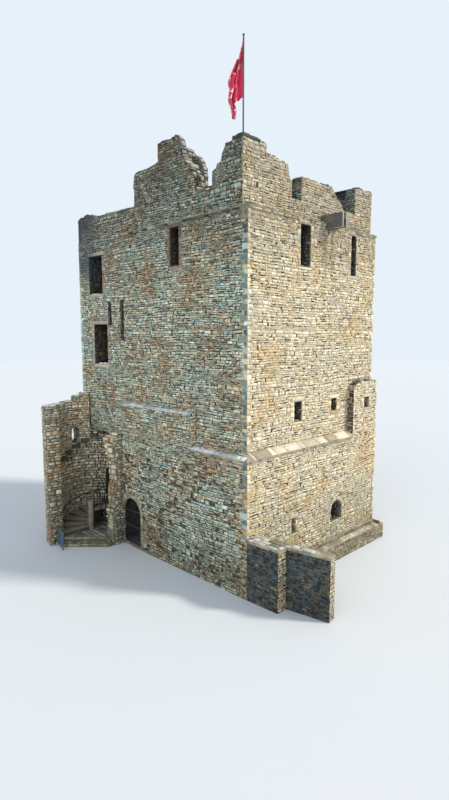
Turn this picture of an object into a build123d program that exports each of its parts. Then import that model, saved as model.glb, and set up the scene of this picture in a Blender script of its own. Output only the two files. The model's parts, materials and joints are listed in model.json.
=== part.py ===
from build123d import *
import math
import os

os.makedirs("parts", exist_ok=True)

# Castle keep with the ruin of its round stair turret.
# Millimetres. X runs along the front, which faces -Y and holds the gate.
# The right side faces +X. Z is up from the ground at z = 0.
# The origin is the centre of the keep's upper walls, at ground level.
# Places on the front count from the near corner, where front and right side meet,
# or from the left corner. Places on the right side count from the near corner.

# Keep, outside of the upper walls
keep_length = 12600
keep_width = 9600
# How far the ground storey stands proud on the front and the right side
offset_depth = 350

# Levels: the undersides of the floors, and the head of the walls
first_level = 5600
second_level = 8700
third_level = 12300
wall_head = 15800
floor_thickness = 250
paving_thickness = 80

# Wall thickness at the ground, and the ledge that each floor rests on
wall_thickness = 1850
left_thickness = 1400
bearing = 150

# Windows: reveals are straight for this depth and then splay to the room
reveal = 450
splay = 280

# Gate in the ground storey
gate_from_left = 4950
gate_width = 1520
gate_spring = 1810
gate_rise = 730
gate_haunch_out = 0.33
gate_haunch_up = 0.72
surround_depth = 130
surround_over_arch = 410
rebate = 90
rear_arch_rise = 260

# Barred leaf
leaf_thickness = 44
leaf_play = 12
leaf_overlap = 45
leaf_floor_gap = 20
rail_width = 55
bar_width = 22
bar_count = 11
lock_height = 1000
lock_width = 170
lock_length = 220
lock_proud = 8
pin_radius = 12
pin_play = 1
eye_wall = 12
eye_length = 90
pin_inset = 38
pin_shoulder = 6
lower_hinge = 450
upper_hinge = 1650

# Stair turret
turret_from_left = 2080
turret_reach = 990
turret_radius = 2300
turret_wall = 720
turret_foot_at_keep = 146
turret_head = 7150
turret_head_at_keep = 7600
joint = 0.3

# Stair in the turret
platform_height = 350
platform_inset = 380
platform_side = 430
lower_step_height = 170
lower_step_out = 120
landing_height = 1500
landing_thickness = 220
winder_count = 6
first_riser = 270
last_riser = 126
landing_end = 83
newel_radius = 150
newel_over_landing = 450
doorway_turn = 99
doorway_width = 850
doorway_height = 1950
guard_height = 900
rail_radius = 20
rail_from_wall = 90
rail_over_treads = 760
stump_count = 6
stump_start = 222
stump_turn = 19
stump_low = 4050
stump_rise = 270
stump_reach = 290
stump_thickness = 170

# Short railing panel at the foot of the turret
panel_turn = 13
panel_length = 1000
panel_height = 950
panel_post = 50

# Ledges and courses
ledge_low = 200
ledge_high = 450
ledge_nose = 40
ledge_slab = 90
high_offset = 1500
high_offset_end = 3050
course_height = 130
course_projection = 90
plinth_projection = 430
plinth_height = 850
plinth_step = 80
plinth_start = 900

# Pier at the far end of the right side
pier_length = 2180
pier_window_from_end = 965
pier_window_width = 490
pier_window_sill = 1530
pier_window_height = 530
pier_window_depth = 600

# Battlements, with heights over the wall head
parapet_thickness = 550
right_setback = 290
parapet_height = 1050
corner_front_length = 2000
corner_right_length = 3030
corner_height = 2600
front_gap = 1030
big_merlon_length = 4350
big_merlon_height = 2700
stack_length = 1660
stack_thickness = 800
stack_wall = 300
stack_height = 3550
flue = 260
flue_sill = 120
flue_height = 760
flank = 840
right_gap = 720
right_merlon_length = 2340
right_flank = 970
far_gap = 1000
far_merlon_height = 2150

# Chute through the right parapet
chute_place = 5400
chute_width = 320
chute_reach = 1150
chute_top = 400
chute_channel = 140
chute_channel_depth = 110

# Stub wall at the near corner
stub_length = 3450
stub_turn = 10.5
stub_thickness = 450
stub_height = 2550
stub_cap = 90
stub_cap_overhang = 25
buttress_length = 1580

# Flagpole and flag
pole_radius = 32
pole_height = 3800
pole_plate = 300
pole_plate_thickness = 20
flag_hoist = 2150
flag_drop_at_foot = 750
flag_reach = 560
flag_thickness = 160
flag_from_top = 300

half_x = keep_length / 2
half_y = keep_width / 2
front_y = -half_y - offset_depth
right_x = half_x + offset_depth
well_radius = turret_radius - turret_wall
platform_depth = well_radius - platform_inset
platform_half = well_radius - platform_side
lower_step_depth = well_radius + lower_step_out
turret_x = -half_x + turret_from_left
turret_y = -half_y - turret_reach


def save(piece, name):
    piece.part.label = name
    export_step(piece.part, "parts/" + name + ".step")


def from_corner(distance):
    """X on the front, measured from the near corner."""
    return half_x - distance


def from_left(distance):
    """X on the front, measured from the left corner."""
    return -half_x + distance


def along(distance):
    """Y on the right side, measured from the near corner."""
    return -half_y + distance


def room(storey):
    """Inner faces of a storey, 0 at the ground: low X, high X, low Y, high Y."""
    thickness = wall_thickness - storey * bearing
    return (-half_x + left_thickness - storey * bearing, half_x - thickness,
            -half_y + thickness, half_y - thickness)


def block(low_x, high_x, low_y, high_y, base, top):
    """A squared mass between two levels."""
    with BuildPart() as mass:
        with BuildSketch(Plane.XY.offset(base)):
            with Locations(((low_x + high_x) / 2, (low_y + high_y) / 2)):
                Rectangle(high_x - low_x, high_y - low_y)
        extrude(amount=top - base)
    return mass


def profile(plane, points, amount):
    """A straight piece with its outline on a plane."""
    with BuildPart() as piece:
        with BuildSketch(plane):
            with BuildLine():
                Polyline(*points, close=True)
            make_face()
        extrude(amount=amount)
    return piece


def side_plane(side):
    """An upper face seen from outside, and the sign that leads inward."""
    planes = {
        "front": (Plane.XZ.offset(half_y), -1),
        "back": (Plane.XZ.offset(-half_y), 1),
        "right": (Plane.YZ.offset(half_x), -1),
        "left": (Plane.YZ.offset(-half_x), 1),
    }
    return planes[side]


def window_void(plane, inward, centre, width, sill, height, depth, flare, arched=False):
    """The void of a window through a wall of the given depth."""
    with BuildPart() as void:
        with BuildSketch(plane):
            if arched:
                spring = sill + height - width / 2
                with Locations((centre, (sill + spring) / 2)):
                    Rectangle(width, spring - sill)
                with Locations((centre, spring)):
                    Circle(width / 2)
            else:
                with Locations((centre, sill + height / 2)):
                    Rectangle(width, height)
        extrude(amount=inward * depth)
        if flare > 0:
            with BuildSketch(plane.offset(inward * reveal)):
                with Locations((centre, sill + height / 2)):
                    Rectangle(width, height)
            with BuildSketch(plane.offset(inward * depth)):
                with Locations((centre, sill + height / 2)):
                    Rectangle(width + 2 * flare, height)
            loft()
    return void


def storey_wall(side, storeys, windows):
    """One side of the keep over some storeys. Windows are centre, width, sill, height, flare."""
    plane, inward = side_plane(side)
    levels = (0, first_level, second_level, third_level, wall_head)
    lengthwise = side in ("front", "back")
    voids = []
    for centre, width, sill, height, flare in windows:
        storey = max(s for s in storeys if levels[s] < sill)
        low_x, high_x, low_y, high_y = room(storey)
        depths = {"front": low_y + half_y, "back": half_y - high_y,
                  "right": half_x - high_x, "left": low_x + half_x}
        voids.append(window_void(plane, inward, centre, width, sill, height, depths[side], flare))
    with BuildPart() as wall:
        for storey in storeys:
            low_x, high_x, low_y, high_y = room(storey)
            if side == "front":
                low_x, high_x, low_y, high_y = -half_x, half_x, -half_y, low_y
            elif side == "back":
                low_x, high_x, low_y, high_y = -half_x, half_x, high_y, half_y
            elif side == "right":
                low_x, high_x = high_x, half_x
            else:
                low_x, high_x = -half_x, low_x
            with BuildSketch(Plane.XY.offset(levels[storey])):
                with Locations(((low_x + high_x) / 2, (low_y + high_y) / 2)):
                    Rectangle(high_x - low_x, high_y - low_y)
            extrude(amount=levels[storey + 1] - levels[storey])
        for void in voids:
            add(void.part, mode=Mode.SUBTRACT)
    return wall


# Ground storey
low_x, high_x, low_y, high_y = room(0)
gate_centre = from_left(gate_from_left)
gate_left = gate_centre - gate_width / 2
gate_right = gate_centre + gate_width / 2
passage_left = gate_left - rebate
passage_right = gate_right + rebate
surround_back = front_y + surround_depth
arch_top = gate_spring + gate_rise
surround_head = arch_top + surround_over_arch

doorway_x = turret_x + well_radius * math.cos(math.radians(doorway_turn))
with BuildPart() as front_left:
    with BuildSketch(Plane.XY):
        with BuildLine():
            Polyline((-half_x, front_y), (passage_left, front_y), (passage_left, low_y),
                     (-half_x, low_y), close=True)
        make_face()
        with Locations((turret_x, turret_y)):
            Circle(well_radius, mode=Mode.SUBTRACT)
    extrude(amount=first_level)
    with BuildSketch(Plane.XZ.offset(-low_y)):
        with Locations((doorway_x, landing_height + (doorway_height - doorway_width / 2) / 2)):
            Rectangle(doorway_width, doorway_height - doorway_width / 2)
        with Locations((doorway_x, landing_height + doorway_height - doorway_width / 2)):
            Circle(doorway_width / 2)
    extrude(amount=low_y - front_y, mode=Mode.SUBTRACT)
save(front_left, "front_wall_lower_left")

save(block(passage_right, right_x, front_y, low_y, 0, first_level), "front_wall_lower_right")

# The passage behind the leaf has a low rear arch, high enough for the leaf to swing under
with BuildPart() as over_gate:
    with BuildSketch(Plane.XZ.offset(-surround_back)):
        with BuildLine():
            Polyline((passage_left, surround_head), (passage_left, first_level),
                     (passage_right, first_level), (passage_right, surround_head))
            ThreePointArc((passage_right, surround_head),
                          (gate_centre, surround_head + rear_arch_rise),
                          (passage_left, surround_head))
        make_face()
    extrude(amount=surround_back - low_y)
    with BuildSketch(Plane.XZ.offset(-front_y)):
        with Locations((gate_centre, (surround_head + first_level) / 2)):
            Rectangle(passage_right - passage_left, first_level - surround_head)
    extrude(amount=-surround_depth)
save(over_gate, "front_wall_over_gate")

with BuildPart() as gate_surround:
    with BuildSketch(Plane.XZ.offset(-front_y)):
        with Locations((gate_centre, surround_head / 2)):
            Rectangle(passage_right - passage_left, surround_head)
        with BuildLine():
            Polyline((gate_left, gate_spring), (gate_left, 0), (gate_right, 0), (gate_right, gate_spring))
            ThreePointArc((gate_right, gate_spring),
                          (gate_centre + gate_width * gate_haunch_out,
                           gate_spring + gate_rise * gate_haunch_up),
                          (gate_centre, arch_top))
            ThreePointArc((gate_centre, arch_top),
                          (gate_centre - gate_width * gate_haunch_out,
                           gate_spring + gate_rise * gate_haunch_up),
                          (gate_left, gate_spring))
        make_face(mode=Mode.SUBTRACT)
    extrude(amount=-surround_depth)
save(gate_surround, "gate_surround")

save(profile(
    Plane.XY,
    ((gate_left, front_y), (gate_right, front_y), (gate_right, surround_back),
     (passage_right, surround_back), (passage_right, low_y), (passage_left, low_y),
     (passage_left, surround_back), (gate_left, surround_back)),
    paving_thickness,
), "gate_threshold")
save(block(low_x, high_x, low_y, high_y, 0, paving_thickness), "ground_floor")

right_lower_plane = Plane.YZ.offset(right_x)
right_depth = right_x - high_x
slot_void = window_void(right_lower_plane, -1, along(2700), 290, 2020, 680, right_depth, splay)
arched_void = window_void(right_lower_plane, -1, along(6095), 950, 1820, 980, right_depth, 0, arched=True)
with BuildPart() as right_lower:
    add(block(high_x, right_x, low_y, high_y, 0, first_level).part)
    add(slot_void.part, mode=Mode.SUBTRACT)
    add(arched_void.part, mode=Mode.SUBTRACT)
save(right_lower, "right_wall_lower")

save(block(-half_x, right_x, high_y, half_y, 0, first_level), "back_wall_lower")
save(storey_wall("left", (0,), ((600, 290, 2020, 680, splay),)), "left_wall_lower")

# Middle walls, over the first and the second storey
first_floor_top = first_level + floor_thickness
second_floor_top = second_level + floor_thickness
third_floor_top = third_level + floor_thickness
chase_depth = 120
chase_width = 130
with BuildPart() as front_middle:
    add(storey_wall("front", (1, 2), ((from_left(1975), 1310, second_floor_top + 280, 2130, 0),)).part)
    for place, base, top in ((from_left(2900), third_level - 1100, third_level - 50),
                             (from_left(4000), second_floor_top + 690, third_level - 50)):
        with BuildSketch(Plane.XZ.offset(half_y)):
            with Locations((place, (base + top) / 2)):
                Rectangle(chase_width, top - base)
        extrude(amount=-chase_depth, mode=Mode.SUBTRACT)
save(front_middle, "front_wall_middle")
save(storey_wall("right", (1, 2), (
    (along(3360), 560, first_floor_top + 1100, 900, splay),
    (along(6190), 460, first_floor_top + 1310, 610, splay),
)), "right_wall_middle")
pier_window_low = half_y - pier_window_from_end - pier_window_width / 2
pier_window_base = first_level + pier_window_sill
pier_recess = block(half_x - pier_window_depth, half_x,
                    pier_window_low, pier_window_low + pier_window_width,
                    pier_window_base, pier_window_base + pier_window_height)
with BuildPart() as back_middle:
    add(storey_wall("back", (1, 2), (
        (-2400, 560, first_floor_top + 1100, 900, splay),
        (2400, 560, second_floor_top + 900, 1000, splay),
    )).part)
    add(pier_recess.part, mode=Mode.SUBTRACT)
save(back_middle, "back_wall_middle")
save(storey_wall("left", (1, 2), (
    (-600, 560, first_floor_top + 1100, 900, splay),
    (900, 560, second_floor_top + 900, 1000, splay),
)), "left_wall_middle")

# Upper walls, over the third storey
save(storey_wall("front", (3,), (
    (from_corner(4445), 630, third_floor_top + 1300, 1700, splay),
    (from_left(1625), 1290, third_floor_top + 400, 2000, 0),
)), "front_wall_upper")
save(storey_wall("right", (3,), (
    (along(3720), 740, third_floor_top + 1200, 1800, splay),
    (along(7590), 460, third_floor_top + 1100, 1900, 0),
)), "right_wall_upper")
save(storey_wall("back", (3,), (
    (-2400, 560, third_floor_top + 1200, 1750, splay),
    (2400, 560, third_floor_top + 1200, 1750, splay),
)), "back_wall_upper")
save(storey_wall("left", (3,), ((0, 560, third_floor_top + 1200, 1750, splay),)), "left_wall_upper")

# Floors, each resting on the ledge of the storey below, and the deck behind the battlements
for storey, level, name in ((1, first_level, "first_floor"), (2, second_level, "second_floor"),
                            (3, third_level, "third_floor")):
    inner = room(storey)
    save(block(inner[0], inner[1], inner[2], inner[3], level, level + floor_thickness), name)
inner = room(3)
save(block(inner[0] - bearing, inner[1] + bearing, inner[2] - bearing, inner[3] + bearing,
           wall_head, wall_head + floor_thickness), "deck")

# Sloping ledges over the ground storey, mitred at the near corner
ledge_top = first_level + ledge_high
ledge_edge = first_level + ledge_low
mitre = Plane(origin=(half_x, -half_y, 0), z_dir=(1, 1, 0))
with BuildPart() as front_ledge:
    with BuildSketch(Plane.YZ.offset(from_corner(high_offset_end))):
        with BuildLine():
            Polyline((front_y, first_level), (front_y, ledge_edge - ledge_slab),
                     (front_y - ledge_nose, ledge_edge - ledge_slab), (front_y - ledge_nose, ledge_edge),
                     (-half_y, ledge_top), (-half_y, first_level), close=True)
        make_face()
    extrude(amount=high_offset_end + offset_depth + ledge_nose)
    split(bisect_by=mitre, keep=Keep.BOTTOM)
save(front_ledge, "front_ledge")
with BuildPart() as right_ledge:
    with BuildSketch(Plane.XZ.offset(-front_y + ledge_nose)):
        with BuildLine():
            Polyline((right_x, first_level), (right_x, ledge_edge - ledge_slab),
                     (right_x + ledge_nose, ledge_edge - ledge_slab), (right_x + ledge_nose, ledge_edge),
                     (half_x, ledge_top), (half_x, first_level), close=True)
        make_face()
    extrude(amount=-(half_y - pier_length - front_y + ledge_nose))
    split(bisect_by=mitre, keep=Keep.TOP)
save(right_ledge, "right_ledge")

# The left part of the front stays thick for longer, up to a ledge of its own
high_top = first_level + high_offset
with BuildPart() as high_offset_wall:
    with BuildSketch(Plane.YZ.offset(turret_x)):
        with BuildLine():
            Polyline((front_y, first_level), (front_y, high_top + ledge_low - ledge_slab),
                     (front_y - ledge_nose, high_top + ledge_low - ledge_slab),
                     (front_y - ledge_nose, high_top + ledge_low),
                     (-half_y, high_top + ledge_high), (-half_y, first_level), close=True)
        make_face()
    extrude(amount=from_corner(high_offset_end) - turret_x)
    with BuildSketch(Plane.XY.offset(first_level)):
        with Locations((turret_x, turret_y)):
            Circle(turret_radius)
    extrude(amount=2 * high_offset, mode=Mode.SUBTRACT)
save(high_offset_wall, "front_offset_wall")

# Pier at the far corner, as thick as the ground storey, with a ragged head
pier_foot = half_y - pier_length
pier_void = block(half_x, right_x, pier_window_low, pier_window_low + pier_window_width,
                  pier_window_base, pier_window_base + pier_window_height)
with BuildPart() as corner_pier:
    with BuildSketch(Plane.YZ.offset(half_x)):
        with BuildLine():
            Polyline((pier_foot, first_level), (half_y, first_level), (half_y, first_level + 2790),
                     (half_y - 500, first_level + 2880), (half_y - 1000, first_level + 2850),
                     (half_y - 1500, first_level + 2900), (pier_foot + 250, first_level + 2760),
                     (pier_foot, first_level + 2560), close=True)
        make_face()
    extrude(amount=offset_depth)
    add(pier_void.part, mode=Mode.SUBTRACT)
save(corner_pier, "corner_pier")

# Plinth along the right side and the back
plinth_points = ((0, 0), (plinth_projection, 0), (plinth_projection, plinth_height - 70),
                 (plinth_step, plinth_height), (plinth_step, plinth_height + 110), (0, plinth_height + 110))
save(profile(
    Plane.XZ.offset(-front_y - plinth_start),
    tuple((right_x + out, up) for out, up in plinth_points),
    -(half_y - front_y - plinth_start),
), "plinth_right")
save(profile(
    Plane.YZ.offset(-half_x),
    tuple((half_y + out, up) for out, up in plinth_points),
    keep_length + offset_depth + plinth_projection,
), "plinth_back")

# String courses below the battlements, whole on the front and broken on the right side
course_points = ((0, -course_height), (course_projection, -course_height / 3),
                 (course_projection, 0), (0, 0))
save(profile(
    Plane.YZ.offset(from_corner(8500)),
    tuple((-half_y - out, wall_head + up) for out, up in course_points),
    8500 + course_projection,
), "string_course_front")
chute_near = chute_place - chute_width / 2
with BuildPart() as right_course:
    for start, end in ((0, 3140), (chute_near - 1240, chute_near - 40), (keep_width - 1840, keep_width)):
        with BuildSketch(Plane.XZ.offset(-along(start))):
            with BuildLine():
                Polyline(*((half_x + out, wall_head + up) for out, up in course_points), close=True)
            make_face()
        extrude(amount=start - end)
save(right_course, "string_course_right")


# Turret
def turned(angle, radius):
    """A point about the turret's centre."""
    return (turret_x + radius * math.cos(math.radians(angle)),
            turret_y + radius * math.sin(math.radians(angle)))


def ring(start, end, inner, outer, base, top):
    """A length of curved wall between two angles."""
    with BuildPart() as sector:
        with BuildSketch(Plane.XY.offset(base)):
            with BuildLine():
                CenterArc((turret_x, turret_y), outer, start, end - start)
                CenterArc((turret_x, turret_y), inner, start, end - start)
                Line(turned(start, inner), turned(start, outer))
                Line(turned(end, inner), turned(end, outer))
            make_face()
        extrude(amount=top - base)
    return sector


# What the turret's wall stops against
keep_mass = [
    block(-half_x - turret_radius, right_x, front_y, half_y, 0, first_level),
    block(-half_x - turret_radius, right_x, -half_y, half_y, first_level, wall_head),
    block(gate_left - joint, right_x, front_y - turret_radius, half_y, 0, wall_head),
]
window_turn = 176
window_sill = 4900
window_width = 480
window_spring = window_sill + 620
window_plane = Plane(
    origin=turned(window_turn, well_radius - 100) + (0,),
    x_dir=(-math.sin(math.radians(window_turn)), math.cos(math.radians(window_turn)), 0),
    z_dir=(math.cos(math.radians(window_turn)), math.sin(math.radians(window_turn)), 0),
)
with BuildPart() as turret_by_keep:
    add(ring(turret_foot_at_keep, 192, well_radius, turret_radius, 0, turret_head).part)
    add(ring(turret_foot_at_keep, 172, well_radius, turret_radius, turret_head,
             turret_head + 0.6 * (turret_head_at_keep - turret_head)).part)
    add(ring(turret_foot_at_keep, 161, well_radius, turret_radius, turret_head, turret_head_at_keep).part)
    for mass in keep_mass:
        add(mass.part, mode=Mode.SUBTRACT)
    with BuildSketch(window_plane):
        with Locations((0, (window_sill + window_spring) / 2)):
            Rectangle(window_width, window_spring - window_sill)
        with Locations((0, window_spring)):
            Circle(window_width / 2)
    extrude(amount=turret_wall + 400, mode=Mode.SUBTRACT)
save(turret_by_keep, "turret_wall_by_keep")
save(ring(192, 228, well_radius, turret_radius, 0, turret_head - 60), "turret_wall_middle")

# The broken end steps in and out from one lift of masonry to the next
end_lifts = ((0, 900, 267), (900, 1700, 264), (1700, 2600, 266), (2600, 3300, 263), (3300, 4400, 265),
             (4400, 5100, 262), (5100, 6100, 264.5), (6100, 6750, 261), (6750, turret_head, 257))
with BuildPart() as turret_broken_end:
    for base, top, end in end_lifts:
        add(ring(228, end, well_radius, turret_radius, base, top).part)
save(turret_broken_end, "turret_wall_broken_end")

# The other end of the curved wall, torn off beside the gate
stub_lifts = ((0, 1900, 2), (1900, 3100, 5), (3100, 4300, 9), (4300, 5300, 6), (5300, 6100, 12),
              (6100, 6900, 19))
with BuildPart() as turret_stub:
    for base, top, start in stub_lifts:
        add(ring(start, 40, well_radius, turret_radius, base, top).part)
    for mass in keep_mass:
        add(mass.part, mode=Mode.SUBTRACT)
save(turret_stub, "turret_stub")
with BuildPart() as springer:
    for base, top, reach in ((4700, 4950, 180), (4950, 5250, 320), (5250, 5550, 430)):
        add(ring(8, 34, well_radius - reach, well_radius - joint, base, top).part)
save(springer, "vault_springer")

# Winding stair: each tread is a sector round the newel, the whole flight one mass of masonry
tread_turn = (first_riser - last_riser) / winder_count
rise = (landing_height - platform_height) / (winder_count + 1)
with BuildPart() as winders:
    for step in range(winder_count):
        add(ring(last_riser, first_riser - step * tread_turn, newel_radius, well_radius - joint,
                 platform_height + step * rise, platform_height + (step + 1) * rise).part)
save(winders, "stair_winders")
with BuildPart() as newel:
    with BuildSketch(Plane.XY.offset(platform_height)):
        with Locations((turret_x, turret_y)):
            Circle(newel_radius)
    extrude(amount=landing_height + newel_over_landing - platform_height)
save(newel, "newel")
save(ring(landing_end, last_riser, newel_radius, well_radius - joint,
          landing_height - landing_thickness, landing_height), "landing")


def facing(lateral, out):
    """A point of the platform, whose edge crosses the open side of the turret aslant."""
    turn = math.radians(-45)
    return (turret_x + out * math.cos(turn) - lateral * math.sin(turn),
            turret_y + out * math.sin(turn) + lateral * math.cos(turn))


with BuildPart() as platform:
    with BuildSketch(Plane.XY):
        with Locations((turret_x, turret_y)):
            Circle(well_radius - joint)
        with BuildLine():
            Polyline(facing(-3000, platform_depth), facing(3000, platform_depth), facing(3000, 4000),
                     facing(-3000, 4000), close=True)
        make_face(mode=Mode.SUBTRACT)
        with BuildLine():
            Polyline(facing(-platform_half, 0), facing(platform_half, 0),
                     facing(platform_half, platform_depth), facing(-platform_half, platform_depth),
                     close=True)
        make_face()
    extrude(amount=platform_height)
save(platform, "platform")
save(profile(
    Plane.XY,
    (facing(-platform_half, platform_depth), facing(platform_half, platform_depth),
     facing(platform_half + 300, platform_depth + 340), facing(platform_half + 150, lower_step_depth),
     facing(100 - platform_half, lower_step_depth), facing(-platform_half, lower_step_depth - 150)),
    lower_step_height,
), "lower_step")

# Broken treads of the upper flight, still held by the wall
with BuildPart() as upper_treads:
    for tread in range(stump_count):
        start = stump_start - tread * stump_turn
        base = stump_low + tread * stump_rise
        reach = stump_reach - 45 * (tread % 3)
        add(ring(start - 15, start, well_radius - reach, well_radius - joint,
                 base, base + stump_thickness).part)
save(upper_treads, "upper_tread_stumps")

# Handrail along the curved wall: straight runs, mitred, on brackets
rail_ring = well_radius - rail_from_wall
rail_foot = 262
rail_end = 118
rail_runs = 9


def rail_point(share):
    """A point of the handrail, from its foot to its head."""
    angle = rail_foot + (rail_end - rail_foot) * share
    x, y = turned(angle, rail_ring)
    height = platform_height + rail_over_treads + (landing_height - platform_height) * share
    return (x, y, height)


with BuildPart() as handrail:
    with BuildLine() as rail_path:
        Polyline(*(rail_point(run / rail_runs) for run in range(rail_runs + 1)))
    with BuildSketch(Plane(origin=rail_path.line @ 0, z_dir=rail_path.line % 0)):
        Circle(rail_radius)
    sweep(transition=Transition.RIGHT)
    for bracket in (1, 4, 6, 8):
        x, y, height = rail_point(bracket / rail_runs)
        angle = math.radians(rail_foot + (rail_end - rail_foot) * bracket / rail_runs)
        outward = (math.cos(angle), math.sin(angle), 0)
        with BuildSketch(Plane(origin=(x, y, height), z_dir=outward)):
            Circle(rail_radius / 2)
        extrude(amount=rail_from_wall - joint)
save(handrail, "handrail")

# Guard of upright bars along the open edge of the landing
guard_out = (math.cos(math.radians(landing_end + 3)), math.sin(math.radians(landing_end + 3)), 0)
guard_plane = Plane(origin=(turret_x, turret_y, landing_height), x_dir=guard_out,
                    z_dir=(guard_out[1], -guard_out[0], 0))
guard_start = newel_radius + joint
guard_length = well_radius - 2 * joint - guard_start
with BuildPart() as guard:
    with BuildSketch(guard_plane):
        for height in (120, guard_height - 20):
            with Locations((guard_start + guard_length / 2, height)):
                Rectangle(guard_length, 40)
        for post in range(9):
            with Locations((guard_start + 60 + post * (guard_length - 120) / 8, guard_height / 2)):
                Rectangle(24, guard_height - 10)
    extrude(amount=12, both=True)
save(guard, "landing_guard")

# Railing panel from the broken end towards the lower step, its first post against the masonry
panel_root = end_lifts[0][2]
root_x, root_y = turned(panel_root, turret_radius - turret_wall / 2)
root_skew = math.radians(panel_turn + panel_root - 270)
post_seat = joint + panel_post / 2 * math.sin(root_skew)
root_along = math.radians(panel_root + 90)
heading = math.radians(-panel_turn)
panel_plane = Plane(origin=(root_x + post_seat * math.cos(root_along),
                            root_y + post_seat * math.sin(root_along), 0),
                    x_dir=(math.cos(heading), math.sin(heading), 0),
                    z_dir=(math.sin(heading), -math.cos(heading), 0))
with BuildPart() as panel:
    with BuildSketch(panel_plane):
        for place in (panel_post / 2, panel_length - panel_post / 2):
            with Locations((place, panel_height / 2)):
                Rectangle(panel_post, panel_height)
        for height in (150, panel_height - 60):
            with Locations((panel_length / 2, height)):
                Rectangle(panel_length - panel_post, 45)
        for bar in range(7):
            with Locations((130 + bar * (panel_length - 260) / 6, panel_height / 2)):
                Rectangle(22, panel_height - 120)
    extrude(amount=panel_post / 2, both=True)
save(panel, "railing_panel")

# Stub wall and its buttress at the near corner
turn = math.radians(stub_turn)
stub_root = front_y + 280
stub_run = (math.cos(turn), math.sin(turn))
stub_side = (-math.sin(turn), math.cos(turn))
far_front = (right_x + stub_length * stub_run[0], stub_root + stub_length * stub_run[1])
far_back = (far_front[0] + stub_thickness * stub_side[0], far_front[1] + stub_thickness * stub_side[1])
back_root = stub_root + stub_thickness / math.cos(turn)
butt_front = (right_x + buttress_length, front_y + 50)
butt_back = (right_x + buttress_length, stub_root + buttress_length * math.tan(turn))
save(profile(
    Plane.XY,
    ((right_x, stub_root), far_front, far_back, (right_x, back_root)),
    stub_height - stub_cap,
), "stub_wall")
save(profile(
    Plane.XY,
    ((right_x, front_y), butt_front, butt_back, (right_x, stub_root)),
    stub_height - stub_cap,
), "stub_buttress")
over = stub_cap_overhang
save(profile(
    Plane.XY.offset(stub_height - stub_cap),
    ((right_x, front_y - over), (butt_front[0] + over, butt_front[1] - over),
     (butt_back[0] + over, butt_back[1] - over),
     (far_front[0] + over, far_front[1] - over), (far_back[0] + over, far_back[1] + over),
     (right_x, back_root + over)),
    stub_cap,
), "stub_cap")

# Battlements, outlines read along each face from the near corner
merlon_end = corner_front_length + front_gap + big_merlon_length - 50


def front_outline(points):
    """Points on the front, as distance from the near corner and height over the wall head."""
    return tuple((from_corner(distance), wall_head + height) for distance, height in points)


def right_outline(points):
    """Points on the right side, as distance from the near corner and height over the wall head."""
    return tuple((along(distance), wall_head + height) for distance, height in points)


merlon_start = corner_front_length + front_gap
with BuildPart() as front_parapet:
    with BuildSketch(Plane.XZ.offset(half_y)):
        with BuildLine():
            Polyline(*front_outline((
                (keep_length, 0), (keep_length, parapet_height + 120),
                (keep_length - 250, parapet_height + 260), (keep_length - 520, parapet_height + 220),
                (keep_length - 900, parapet_height + 330), (keep_length - 1300, parapet_height + 230),
                (keep_length - 1900, parapet_height + 90),
                (merlon_end + 60, parapet_height + 40), (merlon_end + 40, parapet_height + 800),
                (merlon_end + 120, parapet_height + 900),
                (merlon_end, big_merlon_height - 160), (merlon_end - 420, big_merlon_height - 90),
                (merlon_end - 800, big_merlon_height - 130), (merlon_end - 1260, big_merlon_height - 50),
                (merlon_start + 2500, big_merlon_height), (merlon_start + flank, big_merlon_height),
                (merlon_start + flank - 250, big_merlon_height - 420),
                (merlon_start + flank - 480, big_merlon_height - 480),
                (merlon_start + flank - 640, big_merlon_height - 900),
                (merlon_start, parapet_height + 610),
                (merlon_start - 30, parapet_height), (corner_front_length, parapet_height - 20),
                (corner_front_length, 0),
            )), close=True)
        make_face()
    extrude(amount=-parapet_thickness)
    with BuildSketch(Plane.XY.offset(wall_head + parapet_height + flue_sill)):
        with Locations((from_corner(merlon_start), parapet_thickness - half_y - flue / 2 - flue)):
            Rectangle(2 * flue, flue)
    extrude(amount=flue_height, mode=Mode.SUBTRACT)
save(front_parapet, "front_parapet")

corner_front = profile(
    Plane.XZ.offset(half_y),
    front_outline((
        (corner_front_length, 0), (corner_front_length, corner_height - 1000),
        (corner_front_length - 220, corner_height - 950), (corner_front_length - 280, corner_height - 780),
        (corner_front_length - 500, corner_height - 720), (corner_front_length - 580, corner_height - 430),
        (corner_front_length - 760, corner_height - 200), (corner_front_length - 1000, corner_height - 160),
        (corner_front_length - 1220, corner_height - 30), (right_setback, corner_height), (right_setback, 0),
    )),
    -parapet_thickness,
)
corner_right = profile(
    Plane.YZ.offset(half_x - right_setback),
    right_outline((
        (0, 0), (0, corner_height), (700, corner_height), (1390, corner_height - 10),
        (1400, corner_height - 370), (2000, corner_height - 390), (2400, corner_height - 470),
        (corner_right_length - 240, corner_height - 510), (corner_right_length - 180, corner_height - 900),
        (corner_right_length, corner_height - 1200), (corner_right_length, 0),
    )),
    -parapet_thickness,
)
with BuildPart() as corner_merlon:
    add(corner_front.part)
    add(corner_right.part)
save(corner_merlon, "corner_merlon")

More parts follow.
